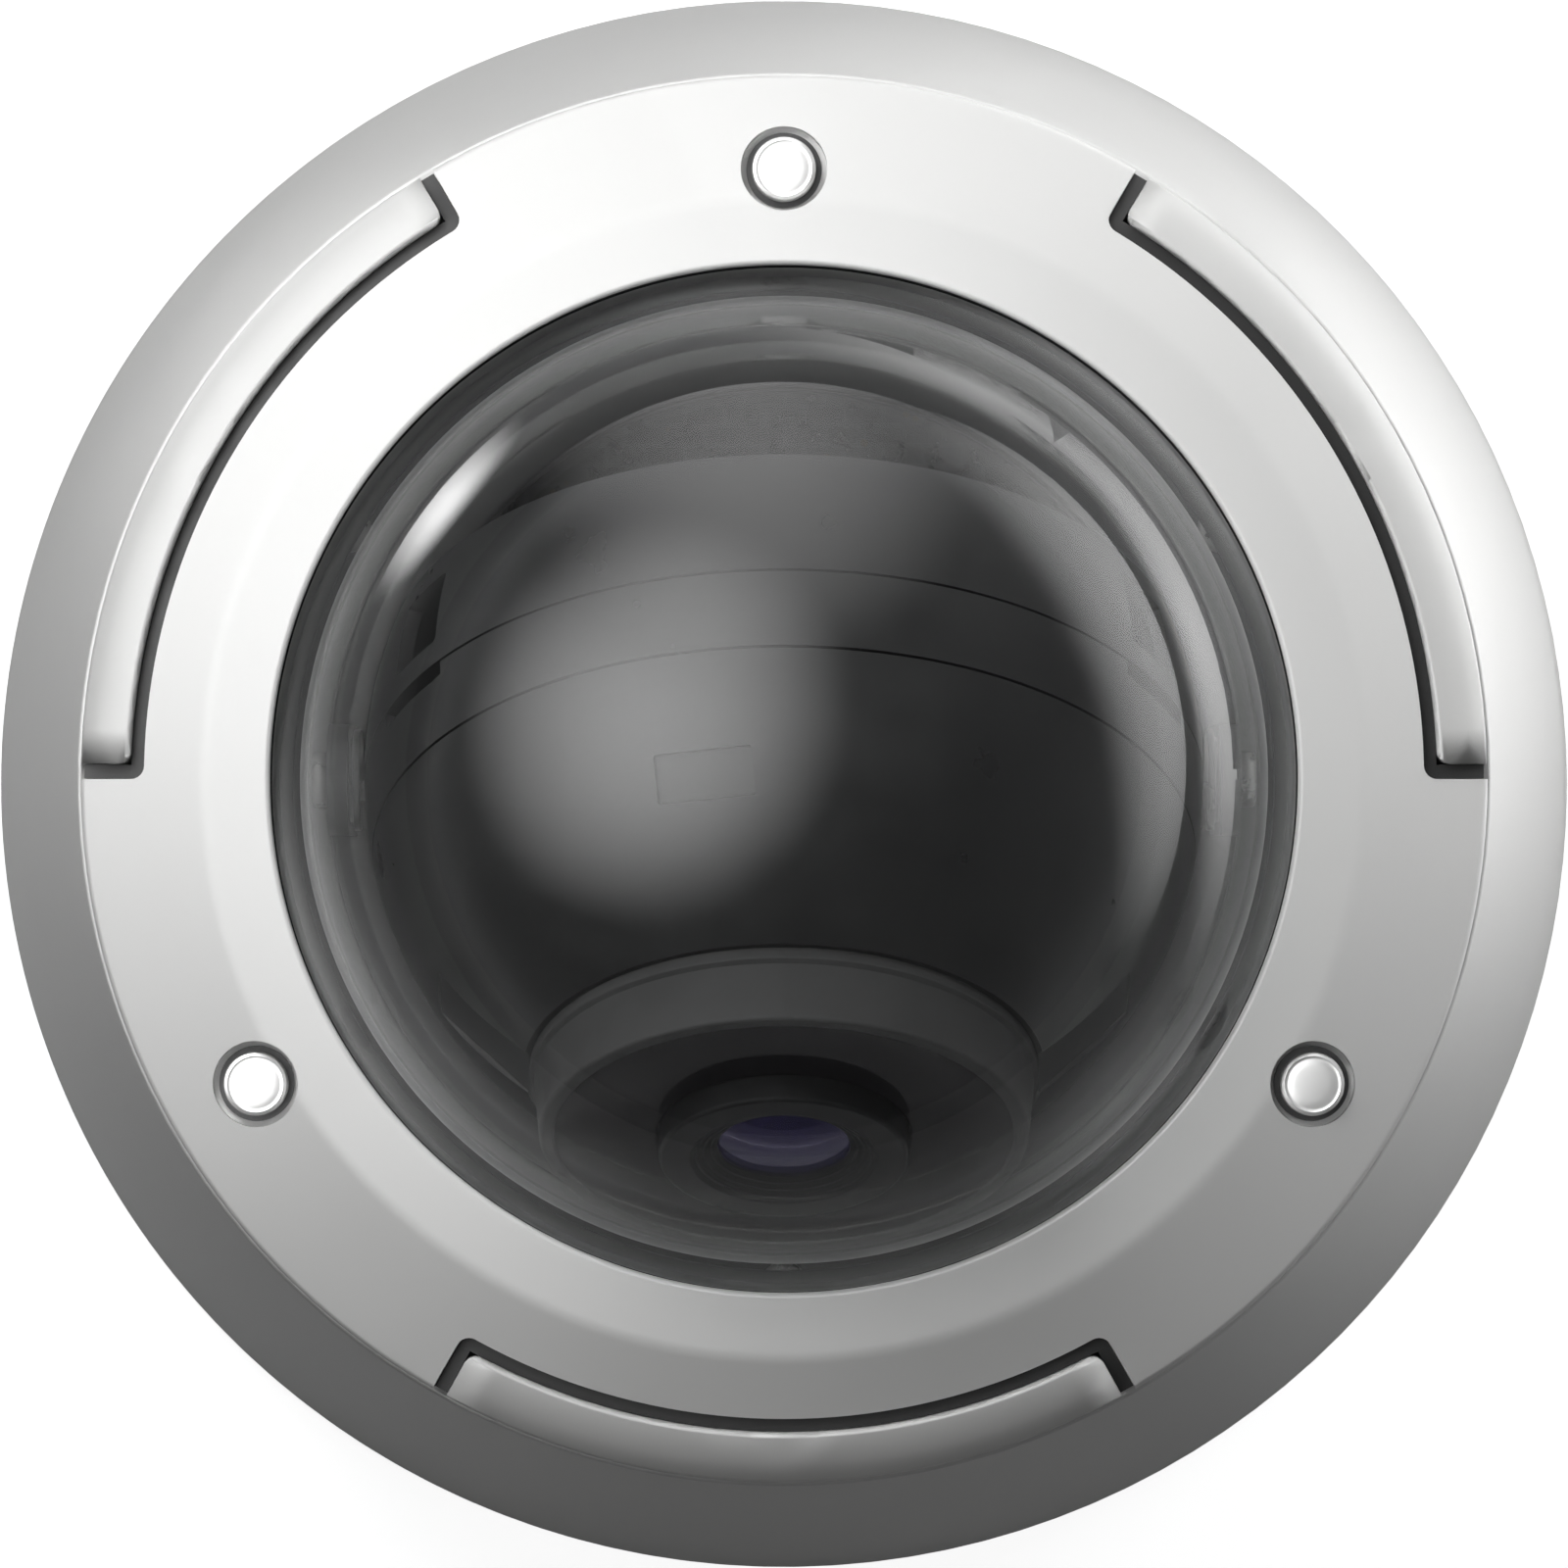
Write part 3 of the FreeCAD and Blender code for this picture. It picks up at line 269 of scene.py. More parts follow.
def rounded(corners, parts=6):
    # corners are (radius, height, rounding); the roundings become short arcs
    points = []
    count = len(corners)
    for i, corner in enumerate(corners):
        here = Vector(corner[:2])
        size = corner[2] if len(corner) > 2 else 0
        if size == 0:
            points.append(here)
            continue
        back = (Vector(corners[i - 1][:2]) - here).normalized()
        ahead = (Vector(corners[(i + 1) % count][:2]) - here).normalized()
        half = back.angle(ahead) / 2
        centre = here + (back + ahead).normalized() * (size / sin(half))
        start = here + back * (size / tan(half)) - centre
        end = here + ahead * (size / tan(half)) - centre
        sweep = start.angle_signed(end)
        for step in range(parts + 1):
            turn = Matrix.Rotation(-sweep * step / parts, 2)
            points.append(centre + turn @ start)
    return points


def spun(points, closed=True, steps=144):
    # an outline of (radius, height) turned about Z; an open one starts and ends on the axis
    bm = bmesh.new()
    verts = [bm.verts.new((p[0] * mm, 0, p[1] * mm)) for p in points]
    edges = [bm.edges.new(pair) for pair in zip(verts, verts[1:])]
    if closed:
        edges.append(bm.edges.new((verts[-1], verts[0])))
    turnOutline(bm, verts + edges, tau, steps, True)
    bmesh.ops.remove_doubles(bm, verts=bm.verts[:], dist=1e-6)
    bmesh.ops.recalc_face_normals(bm, faces=bm.faces[:])
    return bm


def divided(points, longest):
    # adds points along the straight runs of an outline, so that no quad is longer than this
    more = []
    for here, following in zip(points, points[1:] + points[:1]):
        here, following = Vector(here), Vector(following)
        parts = max(1, int((following - here).length / longest + 0.999))
        more += [here.lerp(following, i / parts) for i in range(parts)]
    return more


def arc(radius, centreHeight, startAngle, endAngle, parts):
    # angles from the axis, in degrees
    angles = [radians(startAngle + (endAngle - startAngle) * i / parts) for i in range(parts + 1)]
    return [(abs(radius * sin(a)), centreHeight + radius * cos(a)) for a in angles]


def eased(bm, edges, size, segments=2):
    # rounds the given edges; the size is in millimetres
    bmesh.ops.bevel(bm, geom=edges, offset=size * mm, segments=segments, affect="EDGES", profile=0.5,
                    material=-1)


def turnOutline(bm, geometry, angle, steps, merge):
    # sweeps an outline about Z; merge closes a full turn on itself
    bmesh.ops.spin(bm, geom=geometry, axis=(0, 0, 1), cent=(0, 0, 0), dvec=(0, 0, 0), angle=angle,
                   steps=steps, use_merge=merge, use_duplicate=False)


def addBlock(bm, low, high, turn=Matrix(), edge=0.0):
    # a block between two corners, in millimetres, with its edges eased
    made = bmesh.ops.create_cube(bm, size=1.0)["verts"]
    middle = (Vector(low) + Vector(high)) / 2 * mm
    size = (Vector(high) - Vector(low)) * mm
    bmesh.ops.scale(bm, vec=size, verts=made)
    bmesh.ops.translate(bm, vec=middle, verts=made)
    bmesh.ops.transform(bm, matrix=turn, verts=made)
    if edge:
        eased(bm, list({e for v in made for e in v.link_edges}), edge)
    return made


def addRod(bm, radius, low, high, centre=(0, 0), turn=Matrix(), segments=48, edge=0.0):
    made = bmesh.ops.create_cone(bm, cap_ends=True, segments=segments, radius1=radius * mm,
                                 radius2=radius * mm, depth=(high - low) * mm)["verts"]
    bmesh.ops.translate(bm, vec=Vector((centre[0], centre[1], (low + high) / 2)) * mm, verts=made)
    bmesh.ops.transform(bm, matrix=turn, verts=made)
    if edge:
        around = {e for v in made for e in v.link_edges}
        eased(bm, [e for e in around if any(len(f.verts) > 4 for f in e.link_faces)], edge)
    return made


def toLensAxis(bm):
    # from a shape drawn about Z with the ball's centre at the origin to its tilted place
    bmesh.ops.rotate(bm, verts=bm.verts[:], cent=(0, 0, 0), matrix=lensTurn)
    bmesh.ops.translate(bm, verts=bm.verts[:], vec=ballCentre * mm)


def cutAway(piece, cutter):
    # takes the cutter's shape out of the piece
    mesh = bpy.data.meshes.new("cutter")
    cutter.to_mesh(mesh)
    cutter.free()
    tool = bpy.data.objects.new("cutter", mesh)
    scene.collection.objects.link(tool)
    modifier = piece.modifiers.new("cut", "BOOLEAN")
    modifier.operation = "DIFFERENCE"
    modifier.solver = "EXACT"
    modifier.object = tool
    cut = bpy.data.meshes.new_from_object(piece.evaluated_get(bpy.context.evaluated_depsgraph_get()))
    piece.modifiers.clear()
    piece.data = cut
    bpy.data.objects.remove(tool)
    bpy.data.meshes.remove(mesh)


def asObject(bm, name):
    mesh = bpy.data.meshes.new(name)
    bm.to_mesh(mesh)
    bm.free()
    piece = bpy.data.objects.new(name, mesh)
    scene.collection.objects.link(piece)
    return piece


def finished(piece, node, sharp=32, also=()):
    # shades a piece, gives it its finish, and sets it in the node's place
    piece.data.polygons.foreach_set("use_smooth", [True] * len(piece.data.polygons))
    piece.data.set_sharp_from_angle(angle=radians(sharp))
    piece.data.materials.clear()
    piece.data.materials.append(finishes[slotOf[node]])
    weighted = piece.modifiers.new("evenShading", "WEIGHTED_NORMAL")
    weighted.keep_sharp = True
    weighted.weight = 60
    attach(piece, bodyOf[node])
    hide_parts(node, *also)
    return piece


def smoothCopy(node, name):
    # the node's own shape with its triangles merged, so that its curved faces shade smoothly
    bm = bmesh.new()
    bm.from_mesh(frame["nodes"][node].data)
    bmesh.ops.remove_doubles(bm, verts=bm.verts[:], dist=2e-6)
    return finished(asObject(bm, name), node)


studio = {
    "cameraHeight": 1.0,
    "cameraDrop": 0.0071,
    "viewWidth": 0.18,
    "floorSize": 4.0,
    "floorGap": 0.0004,
}
cameraData = bpy.data.cameras.new("frontCamera")
cameraData.sensor_width = 36
cameraData.lens = 36 * studio["cameraHeight"] / studio["viewWidth"]
cameraData.shift_y = studio["cameraDrop"] / studio["viewWidth"]
cameraData.clip_start = 0.05
cameraData.clip_end = 20
camera = bpy.data.objects.new("frontCamera", cameraData)
camera.location = (0, -studio["cameraDrop"], studio["cameraHeight"])
scene.collection.objects.link(camera)
scene.camera = camera


def straightView(tree):
    # 1 for what is seen directly or through the clear dome, 0 for what lights or is reflected
    path = tree.nodes.new("ShaderNodeLightPath")
    bounces = tree.nodes.new("ShaderNodeMath")
    bounces.operation = "SUBTRACT"
    tree.links.new(path.outputs["Ray Depth"], bounces.inputs[0])
    tree.links.new(path.outputs["Transmission Depth"], bounces.inputs[1])
    return mapped(tree, bounces.outputs["Value"], 1, 0, 0, 1)


floorMesh = bmesh.new()
bmesh.ops.create_grid(floorMesh, x_segments=1, y_segments=1, size=studio["floorSize"] / 2)
bmesh.ops.translate(floorMesh, verts=floorMesh.verts[:], vec=(0, 0, -studio["floorGap"]))
floor = asObject(floorMesh, "studioFloor")
floorMaterial, floorTree, floorShader = newMaterial("whiteStudioFloor")
floorShader.inputs["Base Color"].default_value = (0.45, 0.45, 0.45, 1)
floorShader.inputs["Roughness"].default_value = 0.9
floorShader.inputs["Specular IOR Level"].default_value = 0.0
floorShader.inputs["Emission Color"].default_value = (1, 1, 1, 1)
floorGlow = mapped(floorTree, straightView(floorTree), 0.06, 0.90, 0, 1)
floorTree.links.new(floorGlow, floorShader.inputs["Emission Strength"])
floor.data.materials.append(floorMaterial)

# each softbox: degrees round from +X, degrees off the dome's axis, distance from the dome, size, radiance,
# softness of its edge, and whether it is for matt shading or for reflections
softboxes = {
    "keyBox": (124, 43, 0.36, (0.26, 0.26), 10.2, 0.5, "matt"),
    "sideBox": (27, 84, 0.36, (0.22, 0.14), 15.5, 0.5, "matt"),
    "topGlow": (95, 72, 0.60, (1.10, 1.50), 4.2, 1.0, "gloss"),
    "ballGlow": (155, 33, 0.60, (1.25, 1.25), 8.6, 1.0, "gloss"),
    "rightGlow": (25, 91, 0.50, (1.30, 0.40), 6.5, 1.0, "gloss"),
}
# low panels that lie just above the floor, out of view: degrees round from +X, distance from the axis, size
# and radiance
lowPanels = {
    "rimGlow": (18, 0.24, (0.36, 0.36), 6.5),
    "upperRimGlow": (62, 0.24, (0.34, 0.30), 4.0),
    "streakGlow": (141, 0.25, (0.24, 0.13), 16.0),
}


def addSoftbox(name, around, off, distance, size, radiance, softness, use, low=False):
    lampData = bpy.data.lights.new(name, "AREA")
    lampData.shape = "RECTANGLE"
    lampData.size, lampData.size_y = size
    lampData.energy = radiance * pi * size[0] * size[1]
    lampData.use_nodes = True
    tree = lampData.node_tree
    # the box is brightest in the middle and fades towards its edge
    place = tree.nodes.new("ShaderNodeNewGeometry")
    centred = tree.nodes.new("ShaderNodeVectorMath")
    centred.operation = "SUBTRACT"
    centred.inputs[1].default_value = (0.5, 0.5, 0)
    tree.links.new(place.outputs["Parametric"], centred.inputs[0])
    flat = tree.nodes.new("ShaderNodeVectorMath")
    flat.operation = "MULTIPLY"
    flat.inputs[1].default_value = (2, 2, 0)
    tree.links.new(centred.outputs["Vector"], flat.inputs[0])
    reach = tree.nodes.new("ShaderNodeVectorMath")
    reach.operation = "LENGTH"
    tree.links.new(flat.outputs["Vector"], reach.inputs[0])
    fade = tree.nodes.new("ShaderNodeMapRange")
    fade.interpolation_type = "SMOOTHSTEP"
    fade.inputs["From Min"].default_value = 1.0
    fade.inputs["From Max"].default_value = 1.0 - softness
    tree.links.new(reach.outputs["Value"], fade.inputs["Value"])
    tree.links.new(fade.outputs["Result"], tree.nodes["Emission"].inputs["Strength"])
    lamp = bpy.data.objects.new(name, lampData)
    a, e = radians(around), radians(off)
    direction = Vector((cos(a) * sin(e), sin(a) * sin(e), cos(e)))
    if low:
        lamp.location = direction * distance + Vector((0, 0, 0.004))
        lamp.rotation_euler = (pi, 0, a)
    else:
        lamp.location = direction * distance + Vector((0, 0, 0.07))
        lamp.rotation_euler = direction.to_track_quat("Z", "Y").to_euler()
    lamp.visible_camera = False
    lamp.visible_diffuse = use != "gloss"
    lamp.visible_glossy = use != "matt"
    lamp.visible_transmission = False
    scene.collection.objects.link(lamp)


for name, setting in softboxes.items():
    addSoftbox(name, *setting)
for name, (around, distance, size, radiance) in lowPanels.items():
    addSoftbox(name, around, 90, distance, size, radiance, 1.0, "gloss", low=True)
world = bpy.data.worlds.new("studioWorld")
world.use_nodes = True
world.node_tree.nodes["Background"].inputs["Color"].default_value = (1, 1, 1, 1)
worldTree = world.node_tree
worldPath = worldTree.nodes.new("ShaderNodeLightPath")
skyLight = mapped(worldTree, worldPath.outputs["Glossy Depth"], 0.10, 0.025, 0, 1)
skyView = worldTree.nodes.new("ShaderNodeMath")
skyView.operation = "MAXIMUM"
worldTree.links.new(skyLight, skyView.inputs[0])
worldTree.links.new(mapped(worldTree, straightView(worldTree), 0.0, 0.80, 0, 1), skyView.inputs[1])
worldTree.links.new(skyView.outputs["Value"], worldTree.nodes["Background"].inputs["Strength"])
scene.world = world
scene.view_settings.view_transform = "Standard"
print("camera, floor and lights ready")


dome = {"wall": 3.0, "flangeRadius": 58.7, "flangeTop": 60.5, "flangeBottom": 57.8}


def makeDome():
    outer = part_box("clear_dome")[1].z / mm - ballCentre.z
    inner = outer - dome["wall"]
    outline = arc(outer, ballCentre.z, 0, 90, 56)
    outline += [(outer, dome["flangeTop"]), (dome["flangeRadius"], dome["flangeTop"]),
                (dome["flangeRadius"], dome["flangeBottom"]), (inner, dome["flangeBottom"])]
    outline += arc(inner, ballCentre.z, 90, 0, 56)
    piece = asObject(spun(outline, closed=False, steps=192), "clearDome")
    return finished(piece, "clear_dome", 40)


makeDome()
print("dome ready")


ball = {"radius": 45.2, "wall": 1.7, "rear": -14.2, "bandBack": 1.5, "bandFront": 9.8, "seam": 0.3,
        "neck": 42.2, "collarBase": 35.8, "bossCircle": 37.6, "slotDepth": 1.6}


def atHeight(radius, height):
    return sqrt(radius * radius - height * height)


def sphereZone(radius, low, high, parts):
    # points along a sphere from one height to another
    first, last = (atan2(atHeight(radius, h), h) * 180 / pi for h in (low, high))
    return arc(radius, 0, first, last, parts)


def makeRearShell():
    top = ball["bandBack"] - ball["seam"]
    inside = ball["radius"] - ball["wall"]
    outline = [(0, ball["rear"])] + sphereZone(ball["radius"], ball["rear"], top, 16)
    outline += sphereZone(inside, top, ball["rear"] + ball["wall"], 12) + [(0, ball["rear"] + ball["wall"])]
    piece = asObject(spun(outline, closed=False, steps=180), "rearShell")
    holes = bmesh.new()
    for angle in (30, 150):
        turn = Matrix.Rotation(radians(angle), 4, "Z")
        addBlock(holes, (ball["radius"] - 6, -4.4, -10.6), (ball["radius"] + 2, 4.4, -1.6), turn, 0.6)
    for angle in (90, 210, 330):
        a = radians(angle)
        centre = (ball["bossCircle"] * cos(a), ball["bossCircle"] * sin(a))
        addRod(holes, 1.3, ball["rear"] - 1, ball["rear"] + 3, centre, segments=24)
    addRod(holes, 5.0, ball["rear"] - 1, ball["rear"] + 3, (0, 30))
    cutAway(piece, holes)
    bm = bmesh.new()
    bm.from_mesh(piece.data)
    for x in (-15, 15):
        for y in (-15, 15):
            addRod(bm, 2.4, ball["rear"] + 0.5, -9.2, (x, y), segments=24)
    toLensAxis(bm)
    bm.to_mesh(piece.data)
    bm.free()
    return finished(piece, "rear_shell")


def makeTiltRing():
    low, high = ball["bandBack"], ball["bandFront"]
    bore = ball["neck"] + 0.1
    outline = sphereZone(ball["radius"], low, high, 12) + [(bore, high), (bore, low)]
    piece = asObject(spun(outline, steps=180), "tiltRing")
    slots = bmesh.new()
    for angle in (29, 151):
        turn = Matrix.Rotation(radians(angle), 4, "Z")
        inside = ball["radius"] - ball["slotDepth"]
        addBlock(slots, (inside, -6.2, low - 1), (ball["radius"] + 2, 6.2, low + 1.7), turn, 0.3)
    cutAway(piece, slots)
    bm = bmesh.new()
    bm.from_mesh(piece.data)
    earInner, earOuter = 45.5, 46.3
    for side in (1, -1):
        sideways = Matrix.Rotation(side * pi / 2, 4, "Y")
        addRod(bm, 5.5, earInner, earOuter, turn=sideways, edge=0.15)
        xs = sorted((side * (ball["neck"] + 0.9), side * (earInner + 0.4)))
        addBlock(bm, (xs[0], -3.0, low + 0.3), (xs[1], 3.0, 4.4), edge=0.2)
    toLensAxis(bm)
    bm.to_mesh(piece.data)
    bm.free()
    return finished(piece, "tilt_ring")


def makeFrontShell():
    low, high = ball["bandFront"] + ball["seam"], ball["collarBase"]
    inside = ball["radius"] - ball["wall"]
    outline = sphereZone(ball["radius"], low, high, 36)
    outline += [(15.0, high), (15.0, high - 1.8), (atHeight(inside, high - 1.8), high - 1.8)]
    outline += sphereZone(inside, high - 1.8, low + 1.8, 20)[1:]
    outline += [(ball["neck"] - 1.9, low + 1.5), (ball["neck"] - 1.9, ball["bandBack"] - ball["seam"]),
                (ball["neck"], ball["bandBack"] - ball["seam"]), (ball["neck"], low)]
    piece = asObject(spun(outline, steps=180), "frontShell")
    marks = bmesh.new()
    # the marks are drawn about the ball's own axis, then leaned out to where they sit
    recess = Matrix.Rotation(radians(12), 4, "Z") @ Matrix.Rotation(radians(-60.8), 4, "X")
    addBlock(marks, (-5.2, -2.6, ball["radius"] - 1.0), (5.2, 2.6, ball["radius"] + 3), recess, 0.35)
    for side in (0, 180):
        relief = Matrix.Rotation(radians(side), 4, "Z") @ Matrix.Rotation(radians(45.5), 4, "Y")
        addBlock(marks, (-7, -4.5, ball["radius"] - 0.9), (7, 4.5, ball["radius"] + 3), relief, 0.35)
    cutAway(piece, marks)
    bm = bmesh.new()
    bm.from_mesh(piece.data)
    for angle in (90, 210, 330):
        a = radians(angle)
        centre = (ball["bossCircle"] * cos(a), ball["bossCircle"] * sin(a))
        addRod(bm, 3.0, ball["rear"] + ball["wall"], ball["bandFront"], centre, segments=32)
    toLensAxis(bm)
    bm.to_mesh(piece.data)
    bm.free()
    return finished(piece, "front_shell")


makeRearShell()
makeTiltRing()
makeFrontShell()
print("ball ready")


face = {"front": 43.7, "windowRadius": 24.2, "collarFace": 25.8, "collarBase": 26.9, "noseRadius": 13.2,
        "noseFront": 46.3, "glassRadius": 7.0, "coneRadius": 10.2, "zoomGap": 34.6, "tube": 10.2}


def onLens(outline, name, node, closed=True):
    bm = spun(outline, closed)
    toLensAxis(bm)
    return finished(asObject(bm, name), node)


def makeFace():
    base, front = ball["collarBase"], face["front"]
    onLens(rounded([
        (face["windowRadius"], base), (face["collarBase"], base), (face["collarBase"], base + 1.2, 0.3),
        (face["collarBase"] - 0.5, base + 1.6), (face["collarFace"], front, 0.5),
        (face["windowRadius"], front, 0.3)]), "lensCollar", "lens_collar")
    onLens(rounded([
        (face["noseRadius"] + 0.2, front - 1.8), (face["windowRadius"], front - 1.8),
        (face["windowRadius"], front - 0.2, 0.12), (face["noseRadius"] + 0.2, front - 0.2, 0.2)]),
        "frontWindow", "front_window")
    inside, outside = face["noseRadius"] + 0.3, face["noseRadius"] + 1.0
    onLens([(inside, base + 1.2), (outside, base + 1.2), (outside, front - 1.8), (inside, front - 1.8)],
           "lightBaffle", "light_baffle")


def makeLens():
    front, glass = face["noseFront"], face["glassRadius"]
    edge = front - 1.9
    grooves = []
    # fine steps inside the cone keep stray light off the glass
    for i in range(4):
        share = i / 4
        r = face["coneRadius"] + (glass - face["coneRadius"]) * share
        z = front - 1.6 * share
        grooves += [(r, z), (r - 0.3, z - 0.02)]
    onLens(rounded([
        (glass + 0.4, 20.0), (face["tube"], 20.0), (face["tube"], face["zoomGap"]),
        (face["noseRadius"], face["zoomGap"], 0.4), (face["noseRadius"], front, 0.5)] + grooves +
        [(glass, front - 1.6), (glass, edge), (glass + 0.4, edge)]), "zoomCell", "zoom_cell")
    sphere = 18.0
    crown = edge + 1.4 - sphere
    rise = atan2(glass, sqrt(sphere * sphere - glass * glass)) * 180 / pi
    outline = arc(sphere, crown, 0, rise, 16)
    outline += [(glass, edge), (glass + 0.4, edge), (glass + 0.4, edge - 3.0), (0, edge - 3.0)]
    onLens(outline, "frontLens", "front_lens", closed=False)


makeFace()
makeLens()
print("lens ready")


cover = {"edgeRadius": 74.9, "edgeDrop": 6.1, "ridgeRadius": 61.4, "ridgeDrop": 0.8, "lipRadius": 54.4,
         "lipThickness": 2.0, "bore": 57.0, "seatDepth": 6.7, "neckInner": 58.9, "neckOuter": 61.2,
         "neckDepth": 12.6, "recessRadius": 4.6, "recessFloor": 5.5, "tabInner": 69.4, "seam": 1.5,
         "tabHalfAngle": 29.0, "tabRound": 1.4, "retainerHeight": 71.2, "skirtRadius": 75.0,
         "restGap": 0.1, "sealLow": 62.9, "sealHigh": 65.1, "sealDepth": 1.1, "hollowInner": 69.2,
         "hollowOuter": 72.5, "hollowInnerDrop": 6.5, "hollowOuterDrop": 8.1, "screwHole": 2.2,
         "retainerPocket": 3.95, "retainerHole": 1.5, "longestQuad": 1.6}


def sectorTool(inner, outer, low, high, middle, halfAngle, corner):
    # a block of a ring between two angles, with its two inner corners rounded
    bm = bmesh.new()
    outline = [(inner, low), (outer, low), (outer, high), (inner, high)]
    start = Matrix.Rotation(radians(middle - halfAngle), 4, "Z")
    verts = [bm.verts.new(start @ Vector((r * mm, 0, z * mm))) for r, z in outline]
    bm.faces.new(verts)
    turnOutline(bm, bm.verts[:] + bm.edges[:] + bm.faces[:], radians(2 * halfAngle), 40, False)
    bmesh.ops.remove_doubles(bm, verts=bm.verts[:], dist=1e-6)
    bmesh.ops.holes_fill(bm, edges=bm.edges[:], sides=8)
    bmesh.ops.recalc_face_normals(bm, faces=bm.faces[:])
    if corner:
        ends = [e for e in bm.edges if abs(e.verts[0].co.z - e.verts[1].co.z) > 1e-4
                and all(hypot(v.co.x, v.co.y) < (inner + 0.1) * mm for v in e.verts)
                and e.calc_face_angle(0) > 1.0]
        eased(bm, ends, corner, 6)
    return bm


def makeCover():
    lip, shelf = lipTop, shelfTop
    rest = shelf + cover["restGap"]
    groove = cover["neckOuter"] - cover["sealDepth"]
    outline = rounded([
        (cover["skirtRadius"], rest), (cover["edgeRadius"], lip - cover["edgeDrop"], 0.9),
        (cover["ridgeRadius"], lip - cover["ridgeDrop"], 6.0), (cover["lipRadius"], lip, 0.5),
        (cover["lipRadius"], lip - cover["lipThickness"], 0.4), (cover["bore"], lip - cover["lipThickness"]),
        (cover["bore"], shelf - cover["seatDepth"]), (cover["neckInner"], shelf - cover["seatDepth"]),
        (cover["neckInner"], shelf - cover["neckDepth"]),
        (cover["neckOuter"], shelf - cover["neckDepth"], 0.4),
        (cover["neckOuter"], cover["sealLow"]), (groove, cover["sealLow"]), (groove, cover["sealHigh"]),
        (cover["neckOuter"], cover["sealHigh"]), (cover["neckOuter"], rest), (cover["hollowInner"], rest),
        (cover["hollowInner"], lip - cover["hollowInnerDrop"]),
        (cover["hollowOuter"], lip - cover["hollowOuterDrop"]), (cover["hollowOuter"], rest)])
    piece = asObject(spun(divided(outline, cover["longestQuad"]), steps=240), "coverRing")
    for angle in tabAngles:
        cutAway(piece, sectorTool(cover["tabInner"] - cover["seam"], 80, shelf - 1, lip, angle,
                                  cover["tabHalfAngle"] + 1.0, cover["tabRound"]))
    holes = bmesh.new()
    for number in screwNumbers:
        place = screwPlaces[number]
        floorHeight = shelf + cover["recessFloor"]
        addRod(holes, cover["recessRadius"], floorHeight, lip + 1, (place.x, place.y), segments=64)
    cutAway(piece, holes)
    bores = bmesh.new()
    for number in screwNumbers:
        place = screwPlaces[number]
        addRod(bores, cover["screwHole"], shelf - 1, shelf + cover["recessFloor"] + 1,
               (place.x, place.y), segments=32)
    cutAway(piece, bores)
    for tool, ends in ((cover["retainerPocket"], (-1, 0.35)), (cover["retainerHole"], (-1, 7.7))):
        pockets = bmesh.new()
        for number in screwNumbers:
            place = screwPlaces[number]
            outward = Matrix.Rotation(atan2(place.y, place.x), 4, "Z") @ Matrix.Rotation(pi / 2, 4, "Y")
            turn = Matrix.Translation((0, 0, cover["retainerHeight"] * mm)) @ outward
            addRod(pockets, tool, cover["bore"] + ends[0], cover["bore"] + ends[1], turn=turn, segments=40)
        cutAway(piece, pockets)
    bm = bmesh.new()
    bm.from_mesh(piece.data)
    under = lip - cover["lipThickness"]
    for i in range(6):
        turn = Matrix.Rotation(radians(60 * i), 4, "Z")
        low, high = (cover["bore"] - 0.8, -0.5, under - 1.6), (cover["bore"] + 0.5, 0.5, under + 0.3)
        addBlock(bm, low, high, turn, 0.12)
    bm.to_mesh(piece.data)
    bm.free()
    return finished(piece, "cover")


makeCover()
print("cover ready")


# a black rubber strip fills the seam round each tab of the housing; it is partly a seal and partly painted
# shade, a dark sheet that stands for the shadow deep in the seam
tabSealAndShade = {"gap": 0.06, "gapAngle": 0.06, "tabHalfAngle": 28.7, "bottom": 68.6, "innerTop": 74.9,
           "innerDrop": 0.5, "outerRadius": 74.5, "outerTop": 72.5}


def makeTabSealAndShade(number, angle):
    gap, gapAngle = tabSealAndShade["gap"], tabSealAndShade["gapAngle"]
    inner = cover["tabInner"] - cover["seam"] + gap
    outer = cover["tabInner"] - gap
    reach = cover["tabHalfAngle"] + 1.0
    bm = bmesh.new()
    corner = (outer, tabSealAndShade["innerTop"] - tabSealAndShade["innerDrop"])
    profiles = [(-reach + gapAngle, reach - gapAngle, [(inner, tabSealAndShade["innerTop"]), corner], 40)]
    side = (tabSealAndShade["tabHalfAngle"] + gapAngle, reach - gapAngle)
    slope = [corner, (tabSealAndShade["outerRadius"], tabSealAndShade["outerTop"])]
    profiles += [(side[0], side[1], slope, 2), (-side[1], -side[0], slope, 2)]
    for first, last, tops, steps in profiles:
        start = Matrix.Rotation(radians(angle + first), 4, "Z")
        corners = [(tops[0][0], tabSealAndShade["bottom"]), (tops[1][0], tabSealAndShade["bottom"]), tops[1], tops[0]]
        verts = [bm.verts.new(start @ Vector((r * mm, 0, z * mm))) for r, z in corners]
        flat = bm.faces.new(verts)
        turnOutline(bm, verts + flat.edges[:] + [flat], radians(last - first), steps, False)
    bmesh.ops.remove_doubles(bm, verts=bm.verts[:], dist=1e-6)
    bmesh.ops.holes_fill(bm, edges=bm.edges[:], sides=8)
    bmesh.ops.recalc_face_normals(bm, faces=bm.faces[:])
    # this black strip deep in the seam is partly a seal and partly painted shade for the dark gap
    piece = asObject(bm, "tabSealAndShade%d" % number)
    piece.data.materials.append(finishes["seal_rubber"])
    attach(piece, bodyOf["housing"])


for number, angle in enumerate(tabAngles, 1):
    makeTabSealAndShade(number, angle)
print("tab seals ready")


screw = {"headRadius": 3.4, "headHeight": 2.8, "headBottom": 74.1, "neckRadius": 1.45, "threadRadius": 2.0,
         "threadBottom": 52.2, "threadLength": 8.8, "pitch": 0.7}


